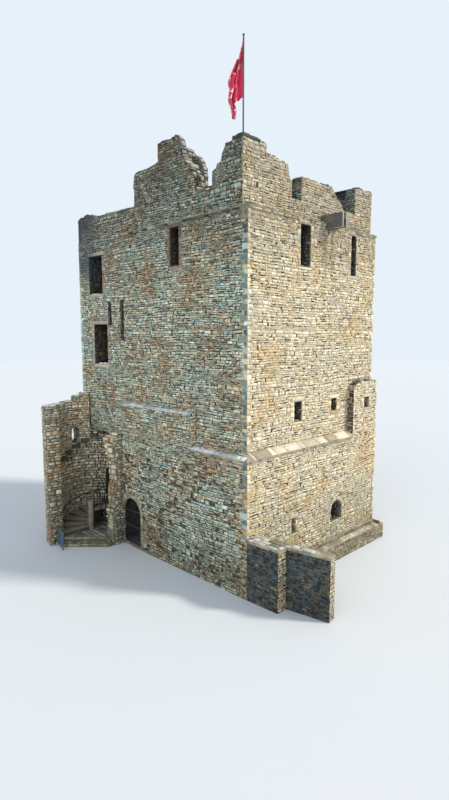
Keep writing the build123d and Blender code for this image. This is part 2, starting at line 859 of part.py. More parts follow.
right_start = corner_right_length + right_gap
right_end = right_start + right_merlon_length + right_flank
right_low = parapet_height - 260
with BuildPart() as right_parapet:
    with BuildSketch(Plane.YZ.offset(half_x - right_setback)):
        with BuildLine():
            Polyline(*right_outline((
                (corner_right_length, 0), (corner_right_length, right_low),
                (right_start, right_low - 10), (right_start, right_low + 990),
                (right_start + 550, right_low + 1020), (right_start + 1250, right_low + 970),
                (right_start + 1950, right_low + 1000), (right_start + right_merlon_length, right_low + 990),
                (right_start + right_merlon_length + 210, right_low + 760),
                (right_start + right_merlon_length + 530, right_low + 500),
                (right_start + right_merlon_length + 810, right_low + 350), (right_end, right_low + 100),
                (right_end + far_gap, right_low + 80), (right_end + far_gap, far_merlon_height - 70),
                (right_end + far_gap + 250, far_merlon_height), (keep_width, far_merlon_height + 30),
                (keep_width, 0),
            )), close=True)
        make_face()
    extrude(amount=-parapet_thickness)
    with BuildSketch(Plane.YZ.offset(half_x - right_setback)):
        with Locations((along(chute_place), wall_head + chute_top - chute_channel_depth / 2)):
            Rectangle(chute_channel, chute_channel_depth)
    extrude(amount=-parapet_thickness, mode=Mode.SUBTRACT)
save(right_parapet, "right_parapet")

back_end = half_x - right_setback - parapet_thickness
save(profile(
    Plane.XZ.offset(-half_y),
    tuple((x, wall_head + height) for x, height in (
        (-half_x, 0), (-half_x, parapet_height + 900), (-half_x + 1500, parapet_height + 860),
        (-half_x + 1560, parapet_height - 60), (-half_x + 2900, parapet_height - 80),
        (-half_x + 2920, parapet_height + 760), (-half_x + 4700, parapet_height + 820),
        (-half_x + 5150, parapet_height + 300), (-half_x + 5400, parapet_height - 90),
        (1500, parapet_height - 60), (1520, parapet_height + 880), (back_end - 900, parapet_height + 930),
        (back_end, parapet_height + 1050), (back_end, 0),
    )),
    parapet_thickness,
), "back_parapet")
left_low = -half_y + parapet_thickness
left_high = half_y - parapet_thickness
save(profile(
    Plane.YZ.offset(-half_x),
    tuple((y, wall_head + height) for y, height in (
        (left_low, 0), (left_low, parapet_height + 120), (left_low + 1200, parapet_height + 30),
        (left_low + 1900, parapet_height - 120), (left_low + 3000, parapet_height - 60),
        (left_low + 3040, parapet_height + 700), (left_low + 5000, parapet_height + 760),
        (left_low + 5050, parapet_height - 80), (left_high - 1300, parapet_height - 100),
        (left_high - 1280, parapet_height + 780), (left_high, parapet_height + 830), (left_high, 0),
    )),
    parapet_thickness,
), "left_parapet")

# Chimney stack on the big merlon: its front wall stands, and its flue has fallen to a slope behind
stack_right = from_corner(merlon_start + flank)
stack_left = stack_right - stack_length
stack_base = wall_head + big_merlon_height
stack_head = wall_head + stack_height
with BuildPart() as chimney:
    with BuildSketch(Plane.XZ.offset(half_y)):
        with BuildLine():
            Polyline((stack_left, stack_base), (stack_left, stack_head - 50),
                     (stack_left + 380, stack_head - 20), (stack_left + 900, stack_head - 60),
                     (stack_left + 1260, stack_head), (stack_left + 1420, stack_head - 60),
                     (stack_left + 1560, stack_head - 230), (stack_right - 30, stack_head - 520),
                     (stack_right, stack_base), close=True)
        make_face()
    extrude(amount=-stack_wall)
    with BuildSketch(Plane.XZ.offset(half_y - stack_wall)):
        with BuildLine():
            Polyline((stack_left + 120, stack_base), (stack_left + 160, stack_base + 250),
                     (stack_left + 700, stack_base + 330), (stack_left + 1300, stack_base + 430),
                     (stack_right - 250, stack_base + 380), (stack_right, stack_base + 180),
                     (stack_right, stack_base), close=True)
        make_face()
    extrude(amount=stack_wall - stack_thickness)
    with BuildSketch(Plane.XZ.offset(half_y - parapet_thickness)):
        with BuildLine():
            Polyline((stack_left, wall_head), (stack_left, stack_base - 100),
                     (stack_left + 120, stack_base), (stack_left + 120, stack_base + 20),
                     (stack_right, stack_base + 20),
                     (stack_right, stack_base), (stack_right + 380, stack_base - 80),
                     (stack_right + 640, stack_base - 380), (stack_right + 780, stack_base - 740),
                     (stack_right + flank - 40, stack_base - 1040), (stack_right + flank - 40, wall_head),
                     close=True)
        make_face()
    extrude(amount=parapet_thickness - stack_thickness)
save(chimney, "chimney_stack")

# Chute: a corbelled trough on the ledge before the right parapet
chute_foot = half_x - right_setback
chute_tip = chute_foot + chute_reach
chute_belly = -250
with BuildPart() as chute:
    with BuildSketch(Plane.XZ.offset(-(along(chute_near)))):
        with BuildLine():
            Polyline((chute_tip, wall_head + 130), (chute_tip, wall_head + chute_top - 60),
                     (chute_foot, wall_head + chute_top), (chute_foot, wall_head),
                     (half_x, wall_head), (half_x, wall_head + chute_belly))
            ThreePointArc((half_x, wall_head + chute_belly),
                          (half_x + 0.72 * (chute_tip - half_x), wall_head - 150),
                          (chute_tip, wall_head + 130))
        make_face()
    extrude(amount=-chute_width)
    with BuildSketch(Plane.YZ.offset(chute_foot)):
        with Locations((along(chute_place), wall_head + chute_top)):
            Rectangle(chute_channel, 2 * chute_channel_depth)
    extrude(amount=chute_reach, mode=Mode.SUBTRACT)
save(chute, "chute")

# Gate leaf: an arched frame with upright bars, two rails, a lock box and two hinge eyes
pin_x = passage_right - pin_inset
pin_y = surround_back + leaf_play + leaf_thickness / 2
eye_radius = pin_radius + pin_play + eye_wall
leaf_left = gate_left - leaf_overlap
leaf_right = pin_x - pin_radius - 8
leaf_mid = (leaf_left + leaf_right) / 2
leaf_half = (leaf_right - leaf_left) / 2
leaf_base = paving_thickness + leaf_floor_gap
leaf_top = arch_top + leaf_overlap
leaf_plane = Plane.XZ.offset(-(pin_y - leaf_thickness / 2))
haunch_out = 2 * gate_haunch_out * leaf_half
haunch_height = gate_spring + gate_haunch_up * (leaf_top - gate_spring)
with BuildPart() as gate_leaf:
    with BuildSketch(leaf_plane):
        with BuildLine():
            Polyline((leaf_left, gate_spring), (leaf_left, leaf_base),
                     (leaf_right, leaf_base), (leaf_right, gate_spring))
            ThreePointArc((leaf_right, gate_spring), (leaf_mid + haunch_out, haunch_height),
                          (leaf_mid, leaf_top))
            ThreePointArc((leaf_mid, leaf_top), (leaf_mid - haunch_out, haunch_height),
                          (leaf_left, gate_spring))
        make_face()
        offset(amount=-rail_width, mode=Mode.SUBTRACT)
    extrude(amount=-leaf_thickness)
    for bar in range(bar_count):
        x = leaf_left + (bar + 1) * 2 * leaf_half / (bar_count + 1)
        across = abs(x - leaf_mid) / leaf_half
        bar_top = gate_spring + (leaf_top - gate_spring) * (1 - across ** 1.8) - rail_width / 2
        with BuildSketch(Plane.XY.offset(leaf_base + rail_width / 2)):
            with Locations((x, pin_y)):
                Rectangle(bar_width, bar_width)
        extrude(amount=bar_top - leaf_base - rail_width / 2)
    with BuildSketch(leaf_plane):
        for height in (lock_height, gate_spring):
            with Locations((leaf_mid, height)):
                Rectangle(2 * leaf_half - rail_width, rail_width)
    extrude(amount=-leaf_thickness)
    with BuildSketch(leaf_plane.offset(lock_proud)):
        with Locations((leaf_left + rail_width + lock_width / 2, lock_height)):
            Rectangle(lock_width, lock_length)
    extrude(amount=-leaf_thickness - 2 * lock_proud)
    for height in (lower_hinge, upper_hinge):
        with BuildSketch(Plane.XY.offset(height)):
            with Locations((pin_x, pin_y)):
                Circle(eye_radius)
            with Locations((leaf_right, pin_y)):
                Rectangle(2 * (pin_x - leaf_right), eye_radius)
        extrude(amount=eye_length)
        with BuildSketch(Plane.XY.offset(height)):
            with Locations((pin_x, pin_y)):
                Circle(pin_radius + pin_play)
        extrude(amount=eye_length, mode=Mode.SUBTRACT)
save(gate_leaf, "gate_leaf")
with BuildPart() as gate_pins:
    for height in (lower_hinge, upper_hinge):
        with BuildSketch(Plane.XY.offset(height - pin_shoulder)):
            with Locations((pin_x, pin_y)):
                Circle(pin_radius)
        extrude(amount=eye_length + 2 * pin_shoulder)
        with BuildSketch(Plane.XY.offset(height - pin_shoulder - rail_width / 2)):
            with Locations((pin_x - pin_radius, pin_y)):
                Rectangle(passage_right - pin_x + pin_radius, 2 * pin_radius,
                          align=(Align.MIN, Align.CENTER))
        extrude(amount=rail_width / 2)
save(gate_pins, "gate_pins")

# Flagpole on the corner merlon, and the flag hanging limp from it
pole_x = half_x - right_setback - parapet_thickness / 2
pole_y = -half_y + parapet_thickness / 2 + 40
pole_foot = wall_head + corner_height
with BuildPart() as flagpole:
    with BuildSketch(Plane.XY.offset(pole_foot)):
        with Locations((pole_x, pole_y)):
            Rectangle(pole_plate, pole_plate)
    extrude(amount=pole_plate_thickness)
    with BuildSketch(Plane.XY.offset(pole_foot)):
        with Locations((pole_x, pole_y)):
            Circle(pole_radius)
    extrude(amount=pole_height - pole_radius)
    with Locations((pole_x, pole_y, pole_foot + pole_height - 1.5 * pole_radius)):
        Sphere(1.5 * pole_radius)
save(flagpole, "flagpole")
flag_top = pole_foot + pole_height - flag_from_top
flag_start = pole_radius + joint
flag_plane = Plane(origin=(pole_x, pole_y, 0), x_dir=(-1, -1, 0), z_dir=(-1, 1, 0))
save(profile(
    flag_plane.offset(-flag_thickness / 2),
    ((flag_start, flag_top), (0.45 * flag_reach, flag_top - 500), (0.75 * flag_reach, flag_top - 1000),
     (flag_reach, flag_top - 1500), (0.86 * flag_reach, flag_top - 2000),
     (0.82 * flag_reach, flag_top - flag_hoist - 0.9 * flag_drop_at_foot),
     (0.54 * flag_reach, flag_top - flag_hoist - flag_drop_at_foot),
     (flag_start, flag_top - flag_hoist)),
    flag_thickness,
), "flag")
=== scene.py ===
"""Looks of a ruined castle keep: its stones, dressings, slate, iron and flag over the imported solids."""
import json
import math
import random

import bpy
import numpy as np
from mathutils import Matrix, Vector, noise
from mathutils.bvhtree import BVHTree


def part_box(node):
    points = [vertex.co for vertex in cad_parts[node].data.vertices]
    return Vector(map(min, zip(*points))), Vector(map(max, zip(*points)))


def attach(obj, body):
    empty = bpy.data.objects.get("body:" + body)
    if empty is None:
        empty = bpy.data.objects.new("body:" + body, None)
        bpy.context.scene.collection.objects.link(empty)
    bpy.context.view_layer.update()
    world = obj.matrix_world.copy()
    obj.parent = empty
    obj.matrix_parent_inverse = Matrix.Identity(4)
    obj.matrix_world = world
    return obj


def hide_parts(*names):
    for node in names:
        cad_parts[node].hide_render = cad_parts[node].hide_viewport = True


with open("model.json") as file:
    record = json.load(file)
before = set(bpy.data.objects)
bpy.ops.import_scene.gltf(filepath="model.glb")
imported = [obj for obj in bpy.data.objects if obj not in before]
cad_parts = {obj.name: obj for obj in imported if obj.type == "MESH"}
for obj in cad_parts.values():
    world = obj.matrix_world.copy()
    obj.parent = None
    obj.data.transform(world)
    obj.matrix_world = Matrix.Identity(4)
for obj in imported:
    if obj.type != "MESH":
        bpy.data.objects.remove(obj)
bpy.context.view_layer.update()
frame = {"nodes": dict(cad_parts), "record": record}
scene = bpy.context.scene
draw = random.Random(1180)
spread = np.random.default_rng(1180)

# Sizes taken from the model
wall_low, wall_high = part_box("front_wall_middle")
half_x = wall_high.x
front_face = wall_low.y
half_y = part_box("back_wall_middle")[1].y
wall_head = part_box("front_wall_upper")[1].z
ground_low, ground_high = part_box("front_wall_lower_right")
ground_front = ground_low.y
ground_right = ground_high.x
first_level = ground_high.z
second_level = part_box("second_floor")[0].z
third_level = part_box("third_floor")[0].z
newel_low, newel_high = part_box("newel")
well_centre = (newel_low + newel_high) / 2
ring = [vertex.co for vertex in frame["nodes"]["turret_wall_middle"].data.vertices]
reaches = [math.hypot(point.x - well_centre.x, point.y - well_centre.y) for point in ring]
turret_radius, well_radius = max(reaches), min(reaches)
openings = {row["name"]: row["box_m"] for row in frame["record"]["physics"]["openings"]}
clearance = 0.02


# Materials
def shade(red, green, blue):
    """Linear colour of a paint chart's shade, 0 to 255."""
    return tuple(((c / 255 + 0.055) / 1.055) ** 2.4 for c in (red, green, blue)) + (1.0,)


def grey(value):
    return (value, value, value, 1.0)


class Finish:
    """A material in the making: a Principled shader, and short calls for the nodes that feed it."""

    def __init__(self, name, roughness=0.9, **sockets):
        self.material = bpy.data.materials.new(name)
        self.material.use_nodes = True
        self.tree = self.material.node_tree
        self.tree.nodes.clear()
        self.shader = self.node("BsdfPrincipled", {"Roughness": roughness})
        self.node("OutputMaterial", {0: self.shader.outputs[0]})
        for socket, value in sockets.items():
            self.set(socket.replace("_", " "), value)
        self.place = self.node("TexCoord").outputs["Object"]
        self.x, self.y, self.z = self.node("SeparateXYZ", {0: self.place}).outputs

    def node(self, kind, inputs=(), **settings):
        """A new node of this kind. Its inputs go by name or number, its settings are its own properties."""
        made = self.tree.nodes.new("ShaderNode" + kind)
        for setting, value in settings.items():
            setattr(made, setting, value)
        for socket, value in dict(inputs).items():
            self.feed(made.inputs[socket], value)
        return made

    def feed(self, socket, value):
        if isinstance(value, bpy.types.NodeSocket):
            self.tree.links.new(value, socket)
        else:
            socket.default_value = value

    def set(self, socket, value):
        self.feed(self.shader.inputs[socket], value)

    def tint(self):
        """The tint that a stone was given, and 1 where its face stands out from the joint."""
        # Alpha is 1 where the stone's face stands out and 0 in its bed, where the materials paint joint shade
        made = self.node("Attribute", attribute_name="tint")
        return made.outputs["Color"], made.outputs["Alpha"]

    def noise(self, scale, detail=4.0, rough=0.55, at=None, distortion=0.0, stretch=None):
        """Clouds of a size, or drawn out by a stretch along each axis."""
        if stretch:
            at = self.node("Mapping", {"Vector": self.place, "Scale": stretch}).outputs[0]
        made = self.node("TexNoise", {"Vector": at or self.place, "Scale": scale, "Detail": detail,
                                      "Roughness": rough, "Distortion": distortion})
        return made.outputs["Fac"]

    def math(self, kind, a, b=0.0):
        return self.node("Math", {0: a, 1: b}, operation=kind).outputs[0]

    def times(self, *values):
        product = values[0]
        for value in values[1:]:
            product = self.math("MULTIPLY", product, value)
        return product

    def span(self, value, low, high, to_low=0.0, to_high=1.0):
        """Takes a value from one range to another, smoothly, and stops at the ends."""
        inputs = dict(enumerate((value, low, high, to_low, to_high)))
        return self.node("MapRange", inputs, interpolation_type="SMOOTHSTEP").outputs[0]

    def ramp(self, factor, *stops):
        made = self.node("ValToRGB", {0: factor})
        for _ in stops[2:]:
            made.color_ramp.elements.new(0.5)
        for element, (place, colour) in zip(made.color_ramp.elements, stops):
            element.position = place
            element.color = colour
        return made.outputs[0]

    def mix(self, factor, a, b, kind="MIX"):
        return self.node("Mix", {0: factor, 6: a, 7: b}, data_type="RGBA", blend_type=kind).outputs[2]

    def shaded(self, colour, factor, *stops, share=1.0):
        """The colour times a grey that follows the factor through the stops."""
        greys = self.ramp(factor, *((place, grey(value)) for place, value in stops))
        return self.mix(share, colour, greys, "MULTIPLY")

    def patched(self, colour, factor, low, high, share, other):
        """Another colour over this one, more so as the factor goes from low to high."""
        return self.mix(self.span(factor, low, high, 0.0, share), colour, other)

    def bump(self, height, distance, strength=1.0, under=None):
        inputs = {"Strength": strength, "Distance": distance, "Height": height}
        if under:
            inputs["Normal"] = under
        return self.node("Bump", inputs).outputs[0]

    def done(self, colour, normal, roughness=None):
        """Plugs in what was made for the material, and gives it."""
        self.set("Base Color", colour)
        self.set("Normal", normal)
        if roughness:
            self.set("Roughness", roughness)
        return self.material


chute_low, chute_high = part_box("chute")
chute_middle = (chute_low.y + chute_high.y) / 2


def weathered(finish, colour):
    """Weather that falls on all stone: soot near the top, damp at the foot, algae below the chute."""
    x, y, z = finish.x, finish.y, finish.z
    patch = finish.noise(0.55, 4, 0.6)
    fine = finish.noise(5.0, 5, 0.65)
    # Soot gathers on the battlements, less on the sunlit right side: painted sunlight that keeps that side paler
    fullness = finish.span(z, wall_head + 0.8, wall_head + 3.0, 0.3, 1.0)
    sunlit_soot_share = finish.span(z, wall_head - 0.2, wall_head + 0.1, 0.85, 0.6)
    soot = finish.times(finish.span(z, wall_head - 3.2, wall_head + 1.2, 0.0, 0.88),
                        finish.span(fine, 0.25, 0.65, fullness),
                        finish.span(x, half_x - 0.36, half_x - 0.31, 1.0, sunlit_soot_share))
    colour = finish.mix(soot, colour, finish.mix(1.0, colour, grey(0.32), "MULTIPLY"))
    # Algae streak the wall below the chute
    drip = finish.noise(1.0, 4, 0.6, stretch=(5.0, 5.0, 0.5))
    aside = finish.math("ABSOLUTE", finish.math("SUBTRACT", y, chute_middle))
    algae = finish.times(finish.span(aside, 0.2, 0.62, 1.0, 0.0),
                         finish.span(z, wall_head - 3.4, wall_head - 0.2),
                         finish.span(x, half_x - 0.05, half_x), finish.span(drip, 0.38, 0.56), 0.8)
    colour = finish.mix(algae, colour, shade(86, 94, 70))
    # The broken left end of the front is darker and bluer
    left_end_darkening = finish.times(finish.span(x, 2.5 - half_x, 0.6 - half_x),
                       finish.span(z, wall_head - 3.0, wall_head - 1.0),
                       finish.span(y, front_face + 0.3, front_face + 2.4, 1.0, 0.0),
                       finish.span(patch, 0.3, 0.55, 0.5, 0.9))
    colour = finish.mix(left_end_darkening, colour, shade(58, 70, 76))
    damp = finish.times(finish.span(z, 0.0, 6.0, 0.6, 0.0), finish.span(patch, 0.3, 0.6, 0.4, 1.0))
    return finish.mix(damp, colour, finish.mix(1.0, colour, shade(150, 158, 150), "MULTIPLY"))


def make_rubble_stone():
    """Sandstone, riven and worn, each stone in the tint that it was given."""
    finish = Finish("rubble_stone")
    tint, joint_shade_mask = finish.tint()
    mottle = finish.noise(7.0, 6, 0.62)
    grain = finish.noise(55.0, 4, 0.7)
    bed = finish.noise(1.0, 4, 0.6, stretch=(6.0, 6.0, 70.0))
    colour = finish.shaded(tint, mottle, (0.28, 0.78), (0.72, 1.32))
    colour = finish.shaded(colour, bed, (0.35, 0.78), (0.65, 1.24), share=0.55)
    colour = finish.patched(colour, grain, 0.62, 0.72, 0.5, shade(94, 78, 58))
    lichen = finish.times(finish.span(finish.noise(16.0, 3, 0.6), 0.63, 0.70),
                          finish.span(finish.noise(0.9, 2), 0.5, 0.62), 0.6)
    colour = finish.mix(lichen, colour, shade(206, 208, 190))
    # Painted shade: the stone's sides darken towards the joint
    edge = finish.ramp(joint_shade_mask, (0.0, shade(150, 136, 118)), (0.75, grey(1.0)))
    colour = finish.mix(1.0, colour, edge, "MULTIPLY")
    rough = finish.bump(bed, 0.007, 0.6, under=finish.bump(grain, 0.006, 0.8))
    return finish.done(weathered(finish, colour), finish.bump(mottle, 0.03, 0.7, under=rough),
                       finish.span(mottle, 0.3, 0.7, 0.82, 0.97))


def rubble_pattern(finish):
    """Coursed stones for inner walls, which no laid stones cover, dark as painted shade: colour, and height for
    bump.
    """
    wobble = finish.span(finish.noise(2.2, 3), 0.0, 1.0, -0.05, 0.05)
    across = finish.math("ADD", finish.math("ADD", finish.x, finish.y), wobble)
    up = finish.math("ADD", finish.z, wobble)
    brick = finish.node("TexBrick", {
        "Vector": finish.node("CombineXYZ", {0: across, 1: up}).outputs[0], "Color1": shade(84, 74, 60),
        "Color2": shade(56, 52, 46), "Mortar": shade(66, 60, 50), "Scale": 1.0, "Mortar Size": 0.012,
        "Mortar Smooth": 0.3, "Brick Width": 0.36, "Row Height": 0.15,
    }, offset_frequency=2, squash=0.7, squash_frequency=3)
    return brick.outputs["Color"], brick.outputs["Fac"]


def make_mortar(name, inner_too=False, tone=1.0, gap=shade(48, 40, 31)):
    """Lime mortar with grit, its deep joints painted dark as shade. Inner faces of walls show their stones too.
    """
    finish = Finish(name, 0.95)
    grit = finish.noise(42.0, 4, 0.7)
    patch = finish.noise(1.1, 4, 0.6)
    shaded_hollow = finish.noise(6.5, 3, 0.6)
    cream = finish.ramp(patch, (0.35, shade(150, 142, 118)), (0.5, shade(166, 154, 126)),
                        (0.66, shade(140, 142, 122)))
    if inner_too:
        # Painted sunlight: paler mortar with fewer dark hollows on the sunlit right side
        sunlit_side = finish.span(finish.x, half_x - 0.32, half_x - 0.30)
        cream = finish.mix(sunlit_side, cream, shade(192, 177, 144))
        shaded_hollow = finish.math("SUBTRACT", shaded_hollow, finish.times(sunlit_side, 0.05))
    # A tone under 1 darkens all the mortar: painted shade
    colour = finish.shaded(cream, grit, (0.3, 0.74 * tone), (0.7, 1.14 * tone))
    # Painted shade: the joints' deep hollows turn dark
    colour = finish.patched(colour, shaded_hollow, 0.50, 0.56, 0.9, gap)
    height = finish.math("ADD", grit, finish.span(shaded_hollow, 0.50, 0.58, 0.0, -2.0))
    # Inner walls show dark coursed stones: painted shade within the rooms
    if inner_too:
        stones, joints = rubble_pattern(finish)
        within = [finish.span(finish.math("ABSOLUTE", place), half - 0.04, half - 0.03, 1.0, 0.0)
                  for place, half in ((finish.x, half_x), (finish.y, half_y))]
        shaded_inner_wall = finish.times(*within, finish.math("LESS_THAN", finish.z, wall_head))
        mottled = finish.shaded(stones, finish.noise(9.0, 5), (0.3, 0.6), (0.7, 1.1))
        colour = finish.mix(shaded_inner_wall, colour, mottled)
        height = finish.math("SUBTRACT", height, finish.times(joints, 3.0, shaded_inner_wall))
    return finish.done(weathered(finish, colour), finish.bump(height, 0.008, 0.8))


def make_dressed_stone(name, pale, dark, worn, stained=0.6):
    """Dressed sandstone: tooled, clouded and stained."""
    finish = Finish(name, 0.88)
    cloud = finish.noise(2.4, 5, 0.6)
    grain = finish.noise(70.0, 4, 0.7)
    stain = finish.noise(1.0, 4, 0.6, stretch=(3.0, 3.0, 0.8))
    tooling = finish.noise(1.0, 3, 0.6, stretch=(34.0, 34.0, 9.0))
    colour = finish.ramp(cloud, (0.32, shade(*dark)), (0.5, shade(*pale)), (0.7, shade(*worn)))
    colour = finish.shaded(colour, grain, (0.3, 0.78), (0.7, 1.12), share=0.6)
    colour = finish.patched(colour, stain, 0.5, 0.64, stained, shade(84, 80, 66))
    colour = finish.patched(colour, finish.noise(14.0, 3), 0.62, 0.7, stained, shade(200, 198, 182))
    normal = finish.bump(tooling, 0.008, 0.5, under=finish.bump(grain, 0.004, 0.8))
    return finish.done(colour, normal, finish.span(cloud, 0.3, 0.7, 0.78, 0.95))


def make_slate():
    """Riven slate paving, blue-grey with brown and a worn middle."""
    finish = Finish("riven_slate")
    layers = finish.noise(1.0, 6, 0.62, stretch=(2.2, 2.2, 22.0), distortion=0.6)
    grain = finish.noise(48.0, 4, 0.7)
    tint, joint_shade_mask = finish.tint()
    colour = finish.shaded(tint, layers, (0.3, 0.66), (0.7, 1.25))
    colour = finish.patched(colour, finish.noise(1.3, 4), 0.52, 0.66, 0.5, shade(128, 112, 88))
    # Painted shade: the slab darkens down its edges towards the joint
    colour = finish.mix(finish.span(joint_shade_mask, 0.0, 0.75, 0.8, 0.0), colour, shade(58, 54, 46))
    normal = finish.bump(layers, 0.012, 0.7, under=finish.bump(grain, 0.003, 0.7))
    return finish.done(colour, normal, finish.span(grain, 0.3, 0.7, 0.55, 0.85))


def make_bedding():
    """Sand and lime bedding between paving slabs, with dirt and moss in it."""
    finish = Finish("paving_bed", 0.96)
    grit = finish.noise(60.0, 4, 0.7)
    colour = finish.ramp(grit, (0.3, shade(84, 78, 66)), (0.7, shade(134, 126, 106)))
    colour = finish.patched(colour, finish.noise(2.5, 5, 0.65), 0.54, 0.64, 0.7, shade(78, 88, 52))
    return finish.done(colour, finish.bump(grit, 0.006))


def make_open_joint():
    """Bottom of a joint that has lost its mortar: earth and shadow."""
    finish = Finish("open_joint", 0.98)
    crumbs = finish.noise(38.0, 4, 0.7)
    return finish.done(finish.ramp(crumbs, (0.3, shade(30, 25, 20)), (0.75, shade(72, 60, 45))),
                       finish.bump(crumbs, 0.01))


def make_iron(name, base, worn, roughness):
    """Painted or wrought iron with rubbed patches, rust bloom and hammer marks."""
    finish = Finish(name, Metallic=0.35)
    hammered = finish.noise(30.0, 3, 0.5)
    bloom = finish.noise(5.0, 6, 0.7)
    colour = finish.patched(shade(*base), hammered, 0.58, 0.7, 0.6, shade(*worn))
    colour = finish.patched(colour, bloom, 0.6, 0.7, 0.7, shade(104, 62, 38))
    return finish.done(colour, finish.bump(hammered, 0.003, 0.6),
                       finish.span(bloom, 0.45, 0.7, roughness, min(1.0, roughness + 0.35)))


def make_pole_paint():
    """Grey paint on the pole, chalked by weather and streaked along its length."""
    finish = Finish("pole_paint")
    streak = finish.noise(1.0, 4, 0.6, stretch=(40.0, 40.0, 1.2))
    chalk = finish.noise(12.0, 4)
    colour = finish.ramp(streak, (0.35, shade(46, 58, 62)), (0.65, shade(80, 94, 98)))
    return finish.done(finish.patched(colour, chalk, 0.6, 0.68, 0.5, shade(160, 164, 164)),
                       finish.bump(chalk, 0.001, 0.5), finish.span(chalk, 0.4, 0.7, 0.35, 0.65))


def make_floor_boards():
    """Oak boards, greyed, with grain along each board and dark gaps between."""
    finish = Finish("floor_boards", 0.8)
    grain = finish.noise(1.0, 6, 0.6, stretch=(2.0, 40.0, 40.0), distortion=0.8)
    boards_per_metre, gap_share = 5.0, 0.05
    across = finish.math("FRACT", finish.times(finish.y, boards_per_metre))
    colour = finish.ramp(grain, (0.3, shade(78, 58, 40)), (0.7, shade(138, 112, 82)))
    colour = finish.mix(finish.math("LESS_THAN", across, gap_share), colour, shade(24, 18, 13))
    return finish.done(colour, finish.bump(grain, 0.003, 0.7))


def make_flag_cloth():
    """Crimson bunting, woven, sun-faded in patches, with pale irregular marks."""
    finish = Finish("flag_cloth", 0.72, Sheen_Weight=0.25)
    uv = finish.node("TexCoord").outputs["UV"]
    weave = finish.node("TexWave", {"Vector": uv, "Scale": 220.0}).outputs["Fac"]
    fade = finish.noise(2.2, 3, 0.5, at=uv)
    colour = finish.ramp(fade, (0.3, shade(182, 8, 46)), (0.7, shade(234, 40, 90)))
    marks = finish.noise(2.3, 2, 0.35, at=uv, distortion=1.4)
    colour = finish.patched(colour, marks, 0.62, 0.635, 1.0, shade(242, 214, 216))
    colour = finish.shaded(colour, weave, (0.0, 0.8), (1.0, 1.0), share=0.25)
    return finish.done(colour, finish.bump(weave, 0.001, 0.5))


rubble_stone = make_rubble_stone()
riven_slate = make_slate()
open_joint = make_open_joint()
# The stub wall's mortar at half tone: painted shadow on its shaded faces
stub_mortar = make_mortar("stub_mortar", tone=0.5)
course_stone = make_dressed_stone("course_stone", (136, 132, 114), (92, 90, 80), (164, 156, 134))
# Dark stone for the stair's risers and stumps: partly dark stone, partly painted shade
riser_stone = make_dressed_stone("riser_stone", (88, 82, 72), (56, 52, 46), (112, 104, 90))
finish_of = {
    "wall_rubble": make_mortar("wall_mortar", inner_too=True),
    # The turret's mortar has paler hollows than the walls': painted light for the shaded well
    "turret_rubble": make_mortar("turret_mortar", gap=shade(96, 82, 66)),
    "dressed_stone": make_dressed_stone("dressed_stone", (158, 146, 122), (118, 110, 92), (184, 174, 150)),
    "slate_paving": make_bedding(),
    "floor_boards": make_floor_boards(),
    "wrought_iron": make_iron("wrought_iron", (60, 60, 62), (112, 108, 102), 0.5),
    "black_iron": make_iron("black_iron", (30, 32, 36), (70, 72, 76), 0.4),
    "blue_grey_steel": make_iron("blue_grey_steel", (92, 118, 134), (140, 160, 170), 0.42),
    "pole_metal": make_pole_paint(),
    "flag_cloth": make_flag_cloth(),
}
own_finish = {
    "chute": make_dressed_stone("chute_stone", (84, 80, 78), (72, 70, 68), (104, 98, 90), 0.2),
    "newel": make_dressed_stone("stair_stone", (134, 126, 108), (92, 86, 74), (166, 156, 134)),
    "vault_springer": make_dressed_stone("springer_stone", (206, 158, 108), (160, 116, 78), (222, 188, 144)),
    "string_course_front": course_stone, "string_course_right": course_stone,
    "stair_winders": riser_stone, "upper_tread_stumps": riser_stone,
    "stub_wall": stub_mortar, "stub_buttress": stub_mortar,
}
slot_of = {row["node"]: row["material_slot"] for row in frame["record"]["subparts"]}
for node, piece in frame["nodes"].items():
    piece.data.materials.clear()
    piece.data.materials.append(own_finish.get(node, finish_of[slot_of[node]]))


def palette(*rows):
    """Shades of stone. A row holds red, green and blue, the share of the stones, and how far they gather in
    green and in rusty patches, where they do."""
    return tuple((shade(*row[:3]), *(row[3:] + (0.0, 0.0))[:3]) for row in rows)


# One sandstone in both: the front's shades are partly painted shade, the right's partly painted sunlight
shaded_front_shades = palette(
    (186, 190, 168, 3.0, 0.2), (166, 184, 166, 2.4, 1.0, -0.6), (196, 214, 200, 1.7, 1.8, -1.2),
    (206, 196, 162, 2.4, -0.4, 0.4), (156, 136, 108, 1.1, -0.8, 1.5), (136, 134, 118, 1.3),
    (222, 222, 200, 1.8, 0.5, -0.5), (192, 164, 126, 0.7, -1.0, 1.8), (146, 168, 162, 0.6, 1.8, -1.0),
)
sunlit_right_shades = palette(
    (222, 208, 176, 4.0), (229, 218, 191, 3.4, 0.6, -0.6), (212, 195, 159, 3.0, -0.4, 0.6),
    (216, 183, 136, 0.7, -0.8, 2.2), (197, 185, 159, 1.6, 0.8, -0.8), (178, 155, 118, 0.6, 0.0, 1.2),
    (201, 193, 176, 1.2, 1.4, -1.2),
)
base_shades = shaded_front_shades + palette((98, 80, 64, 1.5, -0.4, 0.8), (74, 66, 58, 1.1))
plain_shades = palette(
    (190, 178, 146, 3.0), (168, 162, 136, 2.4, 1.2, -0.8), (206, 192, 158, 2.2, 0.0, 0.2),
    (160, 132, 98, 0.8, -0.8, 1.4), (128, 120, 98, 1.2, 0.2), (150, 154, 134, 1.4, 1.8, -1.0),
)
